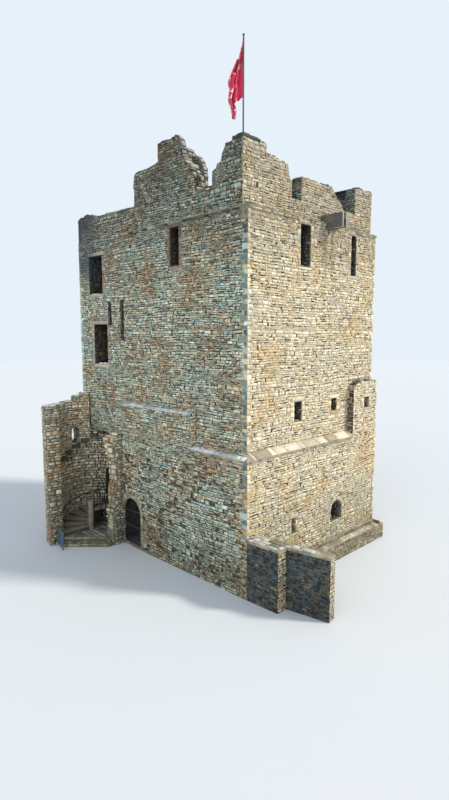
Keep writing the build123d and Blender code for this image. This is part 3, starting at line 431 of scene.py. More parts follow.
turret_shades = palette(
    (206, 190, 158, 3.0, -0.2, 0.4), (182, 168, 142, 2.6, 0.0, 0.4), (156, 146, 126, 2.0, 0.3, -0.2),
    (220, 210, 182, 2.4, 0.4, -0.4), (150, 150, 136, 1.8, 1.2, -1.0), (186, 148, 106, 0.6, -1.0, 1.8),
)
# A paler copy of the turret's shades for its well: painted light in its shade
lightened_well_shades = palette(
    (232, 216, 184, 3.0, -0.2, 0.4), (206, 192, 166, 2.6, 0.0, 0.4), (178, 168, 148, 1.8, 0.3, -0.2),
    (240, 232, 206, 2.4, 0.4, -0.4), (172, 174, 160, 1.8, 1.2, -1.0), (204, 166, 122, 0.6, -1.0, 1.8),
)
crown_shades = palette(
    (100, 102, 94, 3.0, 0.3), (79, 86, 86, 2.4, 1.0, -0.5), (134, 132, 117, 2.0, 0.0, 0.4),
    (161, 157, 140, 1.0, 0.6), (63, 67, 65, 1.8, 0.0, -0.2), (94, 113, 117, 0.8, 1.8, -1.0),
)
lichen_shades = palette(
    (206, 204, 194, 3.0), (184, 180, 166, 2.0, 0.5, -0.5), (140, 134, 118, 0.8, 0.0, 0.5),
)
shadow_shades = palette(
    (52, 70, 80, 3.0, 0.8, -0.4), (74, 90, 98, 2.6, 0.4), (74, 104, 116, 1.0, 1.8, -1.0),
    (92, 92, 84, 1.0, -0.6, 1.0), (38, 50, 58, 2.0), (126, 124, 108, 0.6, 0.0, 0.8),
)
sunny_slab_shades = palette(
    (220, 207, 182, 3.0), (200, 187, 162, 2.4, 0.5, -0.5), (168, 154, 130, 1.4, 0.0, 0.5),
)
# Darker shades for the plinths' sides: painted shade
shaded_plinth_shades = palette(
    (150, 138, 114, 3.0), (124, 114, 94, 2.4, 0.5, -0.5), (176, 162, 136, 1.4, 0.0, 0.5),
)
# Dark shades for deep reveals and the pier's shaded side: painted shadow
reveal_shadow_shades = palette((88, 72, 60, 3.0), (68, 60, 52, 2.4), (48, 44, 40, 2.0))
dressing_shades = palette(
    (178, 168, 140, 3.0), (156, 152, 132, 2.0, 0.8, -0.4), (196, 186, 158, 1.6, 0.0, 0.2),
    (150, 126, 98, 0.5, -0.8, 1.4),
)
# The front corner's teal quoins: their cool tone is partly painted shade
teal_shades = palette(
    (104, 132, 130, 3.0, 0.6, -0.4), (126, 136, 124, 3.0), (84, 106, 110, 2.0, 1.0, -0.5),
    (138, 128, 104, 2.0, -0.5, 0.8),
)
chute_shades = palette((92, 90, 90, 3.0), (78, 78, 80, 2.0))
# Pale rims: painted sunlight on the chute's top and end
sunlit_rim_shades = palette((176, 168, 150, 3.0), (150, 142, 126, 2.0))
# Darker shades under the front string course: painted shade
shaded_course_shades = palette(
    (150, 148, 132, 2.4), (96, 96, 88, 2.4, 0.4, -0.2), (190, 186, 166, 1.6, 0.0, 0.5), (70, 70, 64, 1.4),
)
step_shades = palette((168, 156, 130, 3.0), (140, 132, 112, 2.0, 0.5, -0.5), (186, 176, 150, 1.4, 0.0, 0.4))
# Pale lip slabs: pale stone, partly painted sunlight along the ledges' lips
pale_and_sunlit_lip_shades = palette((206, 212, 208, 3.0), (190, 198, 196, 2.0, 0.5, -0.5), (172, 180, 176, 1.0))
# Pale copings: pale stone and lichen, and painted sunlight on faces towards the sun
pale_and_sunlit_coping_shades = palette((232, 230, 220, 3.0), (208, 204, 190, 1.6, 0.5, -0.5))
slate_shades = palette(
    (126, 126, 122, 3.0), (104, 110, 112, 2.2, 0.6, -0.4), (146, 140, 128, 1.8, -0.4, 0.5),
    (86, 92, 96, 1.2, 0.4),
)
brown_shades = palette((150, 120, 98, 3.0), (124, 104, 88, 2.0), (164, 142, 118, 1.0))


def tint_at(shades, point):
    """A stone's shade: drawn at random, but gathered in patches as in a wall built by the cartload."""
    green = noise.noise(point * 0.45)
    rusty = noise.noise(point * 0.7 + Vector((31.0, 7.0, 3.0)))
    weights = [share * math.exp(2.2 * (green * to_green + rusty * to_rusty))
               for _, share, to_green, to_rusty in shades]
    colour = draw.choices(shades, weights)[0][0]
    light = draw.uniform(0.86, 1.14)
    return tuple(min(1.0, channel * light * draw.uniform(0.97, 1.03)) for channel in colour[:3])


# What a stone lies on: rays tell where a wall's face is open to the air
fittings = ("flag", "gate_leaf", "gate_pins", "handrail", "landing_guard", "railing_panel")
solid_points, solid_faces = [], []
for node, piece in frame["nodes"].items():
    if node not in fittings:
        first = len(solid_points)
        solid_points.extend(vertex.co.copy() for vertex in piece.data.vertices)
        solid_faces.extend([first + index for index in face.vertices] for face in piece.data.polygons)
solids = BVHTree.FromPolygons(solid_points, solid_faces)

# Within these the walls of the rooms stay plain, as the mortar shows their stones
room_x = (-5.36, 4.91)
room_y = 3.41


def bare(point, normal, slack=0.008):
    """True where a wall's face passes through the point and nothing stands on it or close before it."""
    above, near, far = 0.02, 0.05, 30.0
    if abs(point.y) < room_y and room_x[0] < point.x < room_x[1] and point.z < wall_head - 0.02:
        return False
    found, direction, _, distance = solids.ray_cast(point + normal * above, -normal, near)
    if found is None or abs(distance - above) > slack or direction.dot(normal) < 0.8:
        return False
    found, direction, _, distance = solids.ray_cast(point + normal * 0.003, normal, far)
    return found is None or (direction.dot(normal) < 0 and distance > near)


class Plane:
    """A flat face: u runs along it, v up it, and the third coordinate stands off it."""

    slack = 0.008

    def __init__(self, normal, offset):
        self.normal = Vector(normal).normalized()
        self.offset = offset
        if abs(self.normal.z) < 0.5:
            self.across = Vector((0, 0, 1)).cross(self.normal).normalized()
        else:
            along = Vector((1, 0, 0)) if abs(self.normal.x) < 0.5 else Vector((0, 1, 0))
            self.across = (along - self.normal * along.dot(self.normal)).normalized()
        self.up = self.normal.cross(self.across)

    def normal_at(self, u, v):
        return self.normal

    def spot(self, u, v):
        return self.across * u + self.up * v + self.normal * self.offset

    def lift(self, u, v, out):
        across, up, normal = (np.array(axis) for axis in (self.across, self.up, self.normal))
        return u[..., None] * across + v[..., None] * up + (out + self.offset)[..., None] * normal


class Drum:
    """A curved face about the turret's centre: u is measured round it, and side is 1 outside, -1 in the well."""

    slack = 0.025

    def __init__(self, radius, side):
        self.radius = radius
        self.side = side

    def normal_at(self, u, v):
        angle = self.side * u / self.radius
        return Vector((math.cos(angle), math.sin(angle), 0)) * self.side

    def spot(self, u, v):
        angle = self.side * u / self.radius
        return Vector((well_centre.x + self.radius * math.cos(angle),
                       well_centre.y + self.radius * math.sin(angle), v))

    def lift(self, u, v, out):
        angle = self.side * u / self.radius
        reach = self.radius + self.side * out
        return np.stack([well_centre.x + reach * np.cos(angle), well_centre.y + reach * np.sin(angle), v], -1)


# Shapes of stone, each modelled once: a chamfered block with an uneven outline and a dished face
outline_size = 8


def block_shapes(count, corner, swell):
    """Outlines of eight corners in a unit square, cut back at the corners and swelling unevenly."""
    shapes = []
    for _ in range(count):
        bpy.ops.object.select_all(action="DESELECT")
        bpy.ops.mesh.primitive_plane_add(size=1.0)
        block = bpy.context.object
        bpy.ops.object.mode_set(mode="EDIT")
        bpy.ops.mesh.bevel(affect="VERTICES", offset=corner, segments=1)
        bpy.ops.object.mode_set(mode="OBJECT")
        order = block.data.polygons[0].vertices
        ring = [block.data.vertices[index].co.copy() for index in order]
        bpy.data.objects.remove(block)
        start = min(range(len(ring)), key=lambda index: math.atan2(ring[index].y, ring[index].x))
        ring = ring[start:] + ring[:start]
        shapes.append([(point.x * draw.uniform(1 - swell, 1), point.y * draw.uniform(1 - swell, 1))
                       for point in ring])
    return np.array(shapes)


ragged_blocks = block_shapes(24, 0.13, 0.16)
squared_blocks = block_shapes(8, 0.045, 0.03)


class Style:
    """How a wall is laid: its bands, the stones' lengths, how far they stand out, and their joints."""

    band = (0.25, 0.40)
    length = (0.15, 0.48)
    proud = (0.012, 0.034)
    joint = 0.02
    wobble = 0.012
    rows = (1, 2, 2, 2, 2, 3, 3, 3)
    # Share of stones cut short, leaving open joints with dark plates of painted shadow
    shaded_hollow = 0.0
    squared = False
    inset = 0.010
    wavy = False

    def __init__(self, shades, **changes):
        self.shades = shades
        for name, value in changes.items():
            setattr(self, name, value)


rubble = Style(shaded_front_shades, shaded_hollow=0.5, rows=(2, 3, 3, 3, 3, 4), length=(0.12, 0.39), joint=0.018, wavy=True)
sunny_rubble = Style(sunlit_right_shades, shaded_hollow=0.38, rows=(2, 3, 3, 3), length=(0.13, 0.40), joint=0.014,
                     wavy=True, proud=(0.006, 0.028), inset=0.008)
plain_rubble = Style(plain_shades, shaded_hollow=0.3, rows=(1, 2, 2, 2, 3), length=(0.18, 0.52), wavy=True)
turret_rubble = Style(turret_shades, shaded_hollow=0.2, proud=(0.01, 0.04), rows=(2, 2, 3, 3), length=(0.12, 0.36))
shadow_rubble = Style(shadow_shades, rows=(2, 3, 3), length=(0.14, 0.38), shaded_hollow=0.3, wavy=True)
reveal_shadow_rubble = Style(reveal_shadow_shades, length=(0.15, 0.4), proud=(0.004, 0.016), rows=(1, 2, 2))
shaded_reveal = Style(crown_shades, length=(0.12, 0.34), proud=(0.004, 0.016), rows=(2, 3, 3))
crown = Style(crown_shades, band=(0.17, 0.27), rows=(1,), length=(0.16, 0.42), proud=(0.02, 0.085),
              wobble=0.014)
lichen_and_sunlit_crown = Style(pale_and_sunlit_coping_shades, band=(0.16, 0.26), rows=(1,), length=(0.2, 0.5), proud=(0.02, 0.08))
toothed = Style(turret_shades, band=(0.2, 0.32), rows=(1, 2, 2), length=(0.2, 0.42), proud=(0.02, 0.13))
slabs = Style(lichen_shades, band=(2.0, 2.0), rows=(1,), length=(0.28, 0.75), proud=(0.012, 0.035),
              squared=True, joint=0.012, wobble=0.01)
plinth_rubble = Style(shaded_plinth_shades, band=(0.2, 0.3), rows=(1, 2, 2), length=(0.18, 0.5), shaded_hollow=0.3)
course_slabs = Style(crown_shades, band=(2.0, 2.0), rows=(1,), length=(0.14, 0.42), proud=(0.004, 0.04),
                     joint=0.014)
cap_slabs = Style(lichen_shades, band=(0.2, 0.34), rows=(1,), length=(0.2, 0.5), proud=(0.01, 0.035),
                  joint=0.014)
lip_slabs = Style(pale_and_sunlit_lip_shades, band=(2.0, 2.0), rows=(1,), length=(0.3, 0.6), proud=(0.018, 0.026), joint=0.0,
                  wobble=0.004, squared=True, inset=0.002)
paving = Style(slate_shades, band=(0.24, 0.4), rows=(1,), length=(0.25, 0.55), proud=(0.008, 0.018),
               squared=True, joint=0.016, wobble=0.008)
step_edges = Style(step_shades, band=(0.5, 0.5), rows=(1, 2), length=(0.2, 0.5), proud=(0.01, 0.03),
                   joint=0.012)
dressing = Style(dressing_shades, squared=True, joint=0.01, wobble=0.004, proud=(0.014, 0.026), inset=0.008)
ashlar = Style(dressing_shades, band=(0.2, 0.34), rows=(1,), length=(0.3, 0.7), squared=True, joint=0.014,
               proud=(0.008, 0.022), wobble=0.006)

# Bands of masonry run round all the walls at the same levels
highest_band = 21.0
bands = [0.0]
while bands[-1] < highest_band:
    bands.append(bands[-1] + draw.uniform(*rubble.band))


def waved(u, v):
    """Bends the courses of a wall a little, as they were laid by eye."""
    v = (v + 0.022 * np.sin(0.9 * u + 0.5 * v) + 0.014 * np.sin(2.3 * u - 1.7 * v)
         + 0.008 * np.sin(5.6 * u + 4.0 * v) + 0.004 * np.sin(11.0 * u - 7.0 * v))
    return u + 0.010 * np.sin(3.1 * v + 0.7 * u) + 0.006 * np.sin(8.3 * v), v


class Masonry:
    """Stones gathered into one mesh. Each has its outline twice, in the bed and at the face, and a middle."""

    stone_size = 2 * outline_size + 1
    bed_depth = 0.012

    def __init__(self, name, material=rubble_stone, slot="wall_rubble"):
        self.name = name
        self.material = material
        self.slot = slot
        self.points = []
        self.tints = []
        self.pockets = []

    def lay(self, face, cells, style, shades=None):
        """Sets a stone in each cell (left, right, low, high) of the face."""
        if not cells:
            return
        cells = np.array(cells)
        count = len(cells)
        library = squared_blocks if style.squared else ragged_blocks
        ring = library[spread.integers(0, len(library), count)]
        width = cells[:, 1] - cells[:, 0] - style.joint
        height = cells[:, 3] - cells[:, 2] - style.joint
        middle_u, middle_v = cells[:, :2].mean(1), cells[:, 2:].mean(1)
        room = np.minimum(width, height)
        shift = spread.uniform(-1, 1, (count, outline_size, 2))
        shift = shift * np.minimum(style.wobble, room * 0.12)[:, None, None]
        u = ring[..., 0] * width[:, None] + shift[..., 0]
        v = ring[..., 1] * height[:, None] + shift[..., 1]
        inset = np.minimum(style.inset, room * 0.2)[:, None]
        proud = spread.uniform(*style.proud, count)[:, None]
        tilt = spread.uniform(0.7, 1.0, (count, outline_size))
        crown_point = np.zeros((count, 1))
        all_u = np.concatenate([u, u - np.sign(u) * inset, crown_point], 1) + middle_u[:, None]
        all_v = np.concatenate([v, v - np.sign(v) * inset, crown_point], 1) + middle_v[:, None]
        if style.wavy:
            all_u, all_v = waved(all_u, all_v)
        bed = np.full((count, outline_size), -self.bed_depth)
        out = np.concatenate([bed, proud * tilt, proud * 1.08], 1)
        self.points.append(face.lift(all_u, all_v, out).reshape(-1, 3))
        chosen = shades or style.shades
        tints = np.array([tint_at(chosen, face.spot(*spot)) for spot in zip(middle_u, middle_v)])
        # 1 at the stone's face, 0 in its bed, where the materials paint joint shade
        joint_shade_mask = (np.arange(self.stone_size) >= outline_size).astype(float)
        tinted = np.concatenate([np.repeat(tints[:, None, :], self.stone_size, 1),
                                 np.broadcast_to(joint_shade_mask[None, :, None], (count, self.stone_size, 1))], 2)
        self.tints.append(tinted.reshape(-1, 4))

    def pocket(self, face, cells):
        """Marks a joint that has lost its mortar with a dark plate: painted shadow."""
        for left, right, low, high in cells:
            corners = np.array([[left, low], [right, low], [right, high], [left, high]])
            self.pockets.append(face.lift(corners[:, 0], corners[:, 1], np.full(4, 0.003)))

    def finish(self):
        """Makes the stones one piece, and the open joints' dark plates of painted shadow another."""
        if self.points:
            points = np.concatenate(self.points)
            count = len(points) // self.stone_size
            ring = np.arange(outline_size)
            after = np.roll(ring, -1)
            sides = np.stack([ring, after, after + outline_size, ring + outline_size], 1)
            middle = np.full(outline_size, 2 * outline_size)
            caps = np.stack([ring + outline_size, after + outline_size, middle], 1)
            stone = np.concatenate([sides.reshape(-1), caps.reshape(-1), ring[::-1]])
            corners = (np.arange(count)[:, None] * self.stone_size + stone).reshape(-1)
            sizes = np.tile([4] * outline_size + [3] * outline_size + [outline_size], count)
            mesh = new_mesh(self.name, points, corners, sizes, self.tints)
            dress(self.name, mesh, self.material, self.slot)
        if self.pockets:
            points = np.concatenate(self.pockets)
            name = self.name.replace("stones", "open_joints")
            mesh = new_mesh(name, points, np.arange(len(points)), np.full(len(points) // 4, 4))
            dress(name, mesh, open_joint, self.slot)


def give_tints(mesh, tints):
    """Stores a tint for each corner, with 1 after it where the stone stands out from its joint."""
    # The 1 after each tint marks where the stone stands out; lower down the materials paint joint shade
    layer = mesh.attributes.new("tint", "FLOAT_COLOR", "POINT")
    layer.data.foreach_set("color", np.concatenate(tints).astype(np.float32).reshape(-1))


def new_mesh(name, points, corners, sizes, tints=None):
    """A mesh from points, the corner list of its faces and their corner counts, cut off at the ground."""
    mesh = bpy.data.meshes.new(name)
    points[:, 2] = points[:, 2].clip(0.0)
    mesh.vertices.add(len(points))
    mesh.vertices.foreach_set("co", points.astype(np.float32).reshape(-1))
    mesh.loops.add(len(corners))
    mesh.loops.foreach_set("vertex_index", corners.astype(np.int32))
    mesh.polygons.add(len(sizes))
    mesh.polygons.foreach_set("loop_start", (np.cumsum(sizes) - sizes).astype(np.int32))
    mesh.update(calc_edges=True)
    mesh.validate()
    if tints:
        give_tints(mesh, tints)
    return mesh


def dress(name, mesh, material, slot):
    """A piece from a mesh, riding on the keep."""
    piece = bpy.data.objects.new(name, mesh)
    scene.collection.objects.link(piece)
    mesh.materials.append(material)
    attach(piece, "keep")
    return piece


shortest, lowest = 0.05, 0.03


def course(style, extent, levels=None):
    """Cells of a face, in bands that break into rows and those into stones."""
    left, right, low, high = extent
    cells = []
    if levels is None:
        levels = [low]
        while levels[-1] < high:
            levels.append(levels[-1] + draw.uniform(*style.band))
    for bottom, top in zip(levels, levels[1:]):
        bottom, top = max(bottom, low), min(top, high)
        if top - bottom < lowest:
            continue
        start = left - draw.uniform(0, 0.6)
        while start < right:
            run = draw.uniform(0.7, 2.4)
            rows = draw.choice(style.rows) if top - bottom > 0.16 else 1
            cuts = [0.0]
            for _ in range(rows):
                cuts.append(cuts[-1] + draw.uniform(0.7, 1.3))
            for under, over in zip(cuts, cuts[1:]):
                spot = start
                while spot < start + run:
                    length = draw.uniform(*style.length) * (1.6 if rows == 1 else 1.0)
                    if start + run - spot - length < style.length[0] * 0.6:
                        length = start + run - spot
                    cell = (max(spot, left), min(spot + length, right),
                            bottom + (top - bottom) * under / cuts[-1],
                            bottom + (top - bottom) * over / cuts[-1])
                    if cell[1] - cell[0] > shortest:
                        cells.append(cell)
                    spot += length
            start += run
    return cells


def outside_of(cell, taken):
    """The largest part of a cell that no reserved rectangle takes."""
    for start, end, foot, top in taken:
        left, right, low, high = cell
        if right <= start or left >= end or high <= foot or low >= top:
            continue
        rests = ((left, start, low, high), (end, right, low, high), (left, right, low, foot),
                 (left, right, top, high))
        cell = max(rests, key=lambda rest: max(0, rest[1] - rest[0]) * max(0, rest[3] - rest[2]))
        if cell[1] - cell[0] < shortest or cell[3] - cell[2] < lowest:
            return None
    return cell


def longest_run(flags):
    """First and last index of the longest stretch of true flags."""
    best = (0, -1)
    start = None
    for index, flag in enumerate(list(flags) + [False]):
        if flag and start is None:
            start = index
        if not flag and start is not None:
            if index - 1 - start > best[1] - best[0]:
                best = (start, index - 1)
            start = None
    return best


def trimmed(face, cell):
    """The part of a cell that lies on the bare wall, found with rays."""
    left, right, low, high = cell
    edge = 0.012

    def open_at(share_u, share_v):
        u = left + edge + (right - left - 2 * edge) * share_u
        v = low + edge + (high - low - 2 * edge) * share_v
        return bare(face.spot(u, v), face.normal_at(u, v), face.slack)

    if all(open_at(*share) for share in ((0, 0), (1, 0), (1, 1), (0, 1), (0.5, 0.5))):
        return cell
    across, up = 9, 5
    grid = np.array([[open_at(i / (across - 1), j / (up - 1)) for i in range(across)] for j in range(up)])
    first, last = longest_run(grid.all(0))
    under, over = longest_run(grid.all(1))
    if (last - first + 1) / across >= (over - under + 1) / up:
        if last <= first:
            return None
        span = (right - left) / (across - 1)
        new = (left if first == 0 else left + first * span - 0.3 * span,
               right if last == across - 1 else left + last * span + 0.3 * span, low, high)
    else:
        if over <= under:
            return None
        span = (high - low) / (up - 1)
        new = (left, right, low if under == 0 else low + under * span - 0.2 * span,
               high if over == up - 1 else low + over * span + 0.2 * span)
    return new if new[1] - new[0] > shortest and new[3] - new[2] > 0.035 else None


def hollowed(cells, style):
    """Shrinks some stones and returns the short open joints that this leaves beside or below them."""
    kept, opened = [], []
    for left, right, low, high in cells:
        if draw.random() < style.shaded_hollow and right - left > 0.13:
            if draw.random() < 0.22:
                gap = draw.uniform(0.03, 0.07)
                if draw.random() < 0.5:
                    opened.append((left, left + gap, low, high))
                    left += gap
                else:
                    opened.append((right - gap, right, low, high))
                    right -= gap
            elif high - low > 0.07:
                gap = draw.uniform(0.02, 0.045)
                length = (right - left) * draw.uniform(0.5, 1.0)
                start = left + (right - left - length) * draw.random()
                opened.append((start, start + length, low - 0.004, low + gap))
                low += gap - 0.006
        kept.append((left, right, low, high))
    return kept, opened


reserved = {}


def taken_on(normal, offset):
    """The rectangles of a face that its wall's stones keep clear of."""
    key = (round(normal[0], 1), round(normal[1], 1), round(normal[2], 1), round(offset, 2))
    return reserved.setdefault(key, [])


def remains(face, cells, taken):
    """What is left of the cells where nothing is reserved and the wall is bare."""
    kept = []
    for cell in cells:
        cell = outside_of(cell, taken)
        cell = cell and trimmed(face, cell)
        if cell:
            kept.append(cell)
    return kept


def clad(masonry, face, style, extent, levels=None, taken=(), shades=None):
    """Lays a face with stones wherever it is bare."""
    cells, opened = hollowed(remains(face, course(style, extent, levels), taken), style)
    masonry.lay(face, cells, style, shades)
    masonry.pocket(face, opened)


def flat_faces(nodes):
    """The flat faces of some nodes, gathered by the plane they lie in, each with its area and extent."""
    groups = {}
    for node in nodes:
        mesh = frame["nodes"][node].data
        mesh.calc_loop_triangles()
        for triangle in mesh.loop_triangles:
            a, b, c = (mesh.vertices[index].co for index in triangle.vertices)
            normal = (b - a).cross(c - a)
            if normal.length < 1e-6:
                continue
            area = normal.length / 2
            normal.normalize()
            key = tuple(round(part, 2) + 0.0 for part in normal) + (round(normal.dot(a), 2),)
            group = groups.setdefault(key, {"area": 0.0, "corners": [], "face": Plane(normal, normal.dot(a))})
            group["area"] += area
            group["corners"] += [a, b, c]
    for group in groups.values():
        face = group["face"]
        us = [corner.dot(face.across) for corner in group["corners"]]
        vs = [corner.dot(face.up) for corner in group["corners"]]
        yield face, group["area"], (min(us), max(us), min(vs), max(vs))


# Dressed corners of the walls: long and short blocks by turns
chamfer = 0.045


def corner_block_shape():
    """A squared block with small chamfers, as corners of a unit cube."""
    bpy.ops.object.select_all(action="DESELECT")
    bpy.ops.mesh.primitive_cube_add(size=1.0)
    block = bpy.context.object
    bpy.ops.object.mode_set(mode="EDIT")
    bpy.ops.mesh.bevel(offset=chamfer, segments=1, affect="EDGES")
    bpy.ops.mesh.quads_convert_to_tris()
    bpy.ops.object.mode_set(mode="OBJECT")
    points = np.array([vertex.co[:] for vertex in block.data.vertices])
    faces = np.array([face.vertices[:] for face in block.data.polygons])
    bpy.data.objects.remove(block)
    return points, faces


block_points, block_faces = corner_block_shape()


class Blocks:
    """Free-standing squared blocks gathered into one mesh."""

    worn_edge = 0.02

    def __init__(self, name, slot="dressed_stone", material=rubble_stone):
        self.name = name
        self.slot = slot
        self.material = material
        self.points = []
        self.tints = []

    def add(self, low, high, shades, other_shades, wear=0.012):
        """A block between two corners. Shades are for its front and back, other_shades for the rest."""
        low, high = np.array(low), np.array(high)
        size = high - low
        narrower = chamfer - np.minimum(chamfer, self.worn_edge / size.clip(0.05))
        worn = np.clip(block_points + np.sign(block_points) * narrower, -0.5, 0.5)
        points = worn * size + (low + high) / 2 + spread.uniform(-wear, wear, block_points.shape) * 0.6
        self.points.append(points)
        middle = Vector(((low + high) / 2).tolist())
        sides = np.array([tint_at(other_shades, middle) + (1.0,), tint_at(shades, middle) + (1.0,)])
        self.tints.append(sides[(np.abs(block_points[:, 1]) > 0.499).astype(int)])

    def finish(self):
        points = np.concatenate(self.points)
        start = np.arange(len(self.points))[:, None, None] * len(block_points)
        corners = (start + block_faces[None]).reshape(-1)
        mesh = new_mesh(self.name, points, corners, np.full(len(corners) // 3, 3), self.tints)
        dress(self.name, mesh, self.material, self.slot)


quoins = Blocks("corner_quoins")


def lay_quoins(x, y, out_x, out_y, low, high, shades, side_shades):
    """Blocks up a corner. Shades are for the faces to the front or back, side_shades for the rest."""
    proud, joint = 0.022, 0.008
    top = low
    long_side = False
    while top < high - 0.05:
        bottom, top = top, min(high, top + draw.uniform(0.13, 0.27))
        long_side = not long_side
        along_x = draw.uniform(0.2, 0.42) if long_side else draw.uniform(0.1, 0.2)
        along_y = draw.uniform(0.08, 0.14) if long_side else draw.uniform(0.14, 0.26)
        across_x = sorted((x + out_x * proud, x - out_x * along_x))
        across_y = sorted((y + out_y * proud, y - out_y * along_y))
        plain = shades is teal_shades and draw.random() < 0.45
        quoins.add((across_x[0], across_y[0], bottom + joint), (across_x[1], across_y[1], top - joint),
                   shaded_front_shades if plain else shades, side_shades)
        for normal, offset, place, reach in (
            ((out_x, 0, 0), out_x * x, y, -out_y * along_y),
            ((0, out_y, 0), out_y * y, x, -out_x * along_x),
        ):
            face = Plane(normal, offset)
            turned = face.across.y if abs(normal[0]) > 0.5 else face.across.x
            ends = sorted((place * turned, (place + reach) * turned))
            taken_on(normal, offset).append((*ends, bottom, top))


# Heights of what stands against the walls
turret_head = 7.7
plinth_head = 1.0
pier_shoulder = 8.2
middle_head = 11.0


def build_quoins():
    """Corner blocks on the upper walls, then on the ground storey and the pier."""
    pier_low, pier_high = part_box("corner_pier")
    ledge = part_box("right_ledge")[1].z + 0.02
    upper = wall_head - 0.15
    lay_quoins(half_x, front_face, 1, -1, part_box("front_ledge")[1].z, upper, teal_shades, sunlit_right_shades)
    lay_quoins(half_x, half_y, 1, 1, pier_high.z, upper, plain_shades, sunlit_right_shades)
    lay_quoins(-half_x, front_face, -1, -1, turret_head, wall_head, shaded_front_shades, plain_shades)
    lay_quoins(-half_x, half_y, -1, 1, plinth_head, wall_head, plain_shades, plain_shades)
    lay_quoins(ground_right, ground_front, 1, -1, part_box("stub_cap")[1].z, first_level + 0.1, teal_shades,
               sunlit_right_shades)
    lay_quoins(ground_right, half_y, 1, 1, plinth_head, pier_shoulder, plain_shades, sunlit_right_shades)
    lay_quoins(ground_right, pier_low.y, 1, -1, ledge, pier_shoulder - 0.1, reveal_shadow_shades, sunlit_right_shades)
    quoins.finish()


# Dressings round windows and slots
dressings = Masonry("window_dressing_stones", slot="dressed_stone")


def dress_opening(name, normal, offset, jamb=(0.12, 0.26), lintel=0.2, sill=0.12, shades=dressing_shades):
    """Jambs, lintel and sill round an opening, on the face that it is cut through."""
    face = Plane(normal, offset)
    low, high = (Vector(corner) for corner in openings[name])
    us = sorted((low.dot(face.across), high.dot(face.across)))
    left, right = us[0] - clearance, us[1] + clearance
    bottom, top = low.z - clearance, high.z + clearance
    taken = taken_on(normal, offset)
    cells = []
    level = bottom
    step = 0
    while level < top - 0.05:
        rise = min(draw.uniform(0.2, 0.34), top - level)
        for side in (0, 1):
            width = jamb[(step + side) % 2] * draw.uniform(0.9, 1.15)
            ends = (left - width, left) if side == 0 else (right, right + width)
            cells.append((*ends, level, level + rise))
        level += rise
        step += 1
    cells.append((left - 0.18, right + 0.18, top, top + lintel))
    cells.append((left - 0.12, right + 0.12, bottom - sill, bottom))
    cells = remains(face, cells, taken)
    dressings.lay(face, cells, dressing, shades)
    taken += cells
    taken.append((left, right, bottom, top))


def widen_chases():
    """Broken edges beside the two chases in the front, as dark open joints (painted shadow), and the built-up
    foot of one.
    """
    half_chase = 0.065
    face = Plane((0, -1, 0), half_y)
    taken = taken_on((0, -1, 0), half_y)
    work = Masonry("chase_stones")
    for x, low, high, built_up in ((2.9 - half_x, third_level - 1.1, third_level + 0.1, 0.0),
                                   (4.0 - half_x, second_level + 0.94, third_level + 0.15, 0.85)):
        level = low - 0.1
        while level < high:
            rise = draw.uniform(0.08, 0.18)
            if level < low + built_up:
                cell = (x - draw.uniform(0.12, 0.2), x + draw.uniform(0.12, 0.2), level, level + rise)
                work.lay(face, [cell], rubble)
                taken.append(cell)
                level += rise
                continue
            for side in (-1, 1):
                reach = draw.uniform(0.03, 0.13)
                start = 0.0 if level > third_level - 0.15 else half_chase
                ends = sorted((x + side * start, x + side * (half_chase + reach)))
                work.pocket(face, [(*ends, level, level + rise)])
                taken.append((*ends, level, level + rise))
            level += rise
    work.finish()


def build_dressings():
    """Dressings of every rectangular window and slot."""
    widen_chases()
    front = ((0, -1, 0), -front_face)
    right = ((1, 0, 0), half_x)
    ground = ((1, 0, 0), ground_right)
    dress_opening("front_window_upper_right", *front, jamb=(0.12, 0.2), lintel=0.14, shades=brown_shades)
    dress_opening("front_window_upper_left", *front, jamb=(0.1, 0.22))
    dress_opening("front_window_second_storey", *front, jamb=(0.1, 0.22), sill=0.16)
    for name, plane, jamb, lintel in (
        ("right_window_upper_near", right, (0.1, 0.2), 0.2),
        ("right_window_upper_far", right, (0.1, 0.2), 0.2),
        ("right_window_near", right, (0.12, 0.26), 0.22),
        ("right_window_far", right, (0.12, 0.26), 0.18),
        ("right_slot_lower", ground, (0.12, 0.22), 0.2),
        ("pier_recess", ground, (0.12, 0.26), 0.16),
    ):
        dress_opening(name, *plane, jamb, lintel, shades=sunlit_right_shades)
    for name in ("upper_left", "upper_right", "first_storey", "second_storey"):
        dress_opening("back_window_" + name, (0, 1, 0), half_y)
    for name in ("slot_lower", "window_first_storey", "window_second_storey", "window_upper"):
        dress_opening("left_" + name, (-1, 0, 0), half_x)
    dressings.finish()


class Arch:
    """A face along an arch: u runs along its curve, v outward from it."""

    def __init__(self, plane, curve):
        self.plane = plane
        self.curve = np.array(curve)
        steps = np.linalg.norm(np.diff(self.curve, axis=0), axis=1)
        self.reach = np.concatenate([[0.0], np.cumsum(steps)])

    def on_curve(self, along):
        along = np.clip(along, 0, self.reach[-1])
        return [np.interp(along, self.reach, self.curve[:, axis]) for axis in (0, 1)]

    def lift(self, u, v, out):
        along = np.clip(u, 0, self.reach[-1])
        x, z = self.on_curve(along)
        (ahead_x, ahead_z), (behind_x, behind_z) = self.on_curve(along + 0.01), self.on_curve(along - 0.01)
        tangent_x, tangent_z = ahead_x - behind_x, ahead_z - behind_z
        size = np.hypot(tangent_x, tangent_z)
        return self.plane.lift(x + v * tangent_z / size, z - v * tangent_x / size, out)

    def spot(self, u, v):
        return Vector(self.lift(np.array(u), np.array(v), np.array(0.0)).tolist())


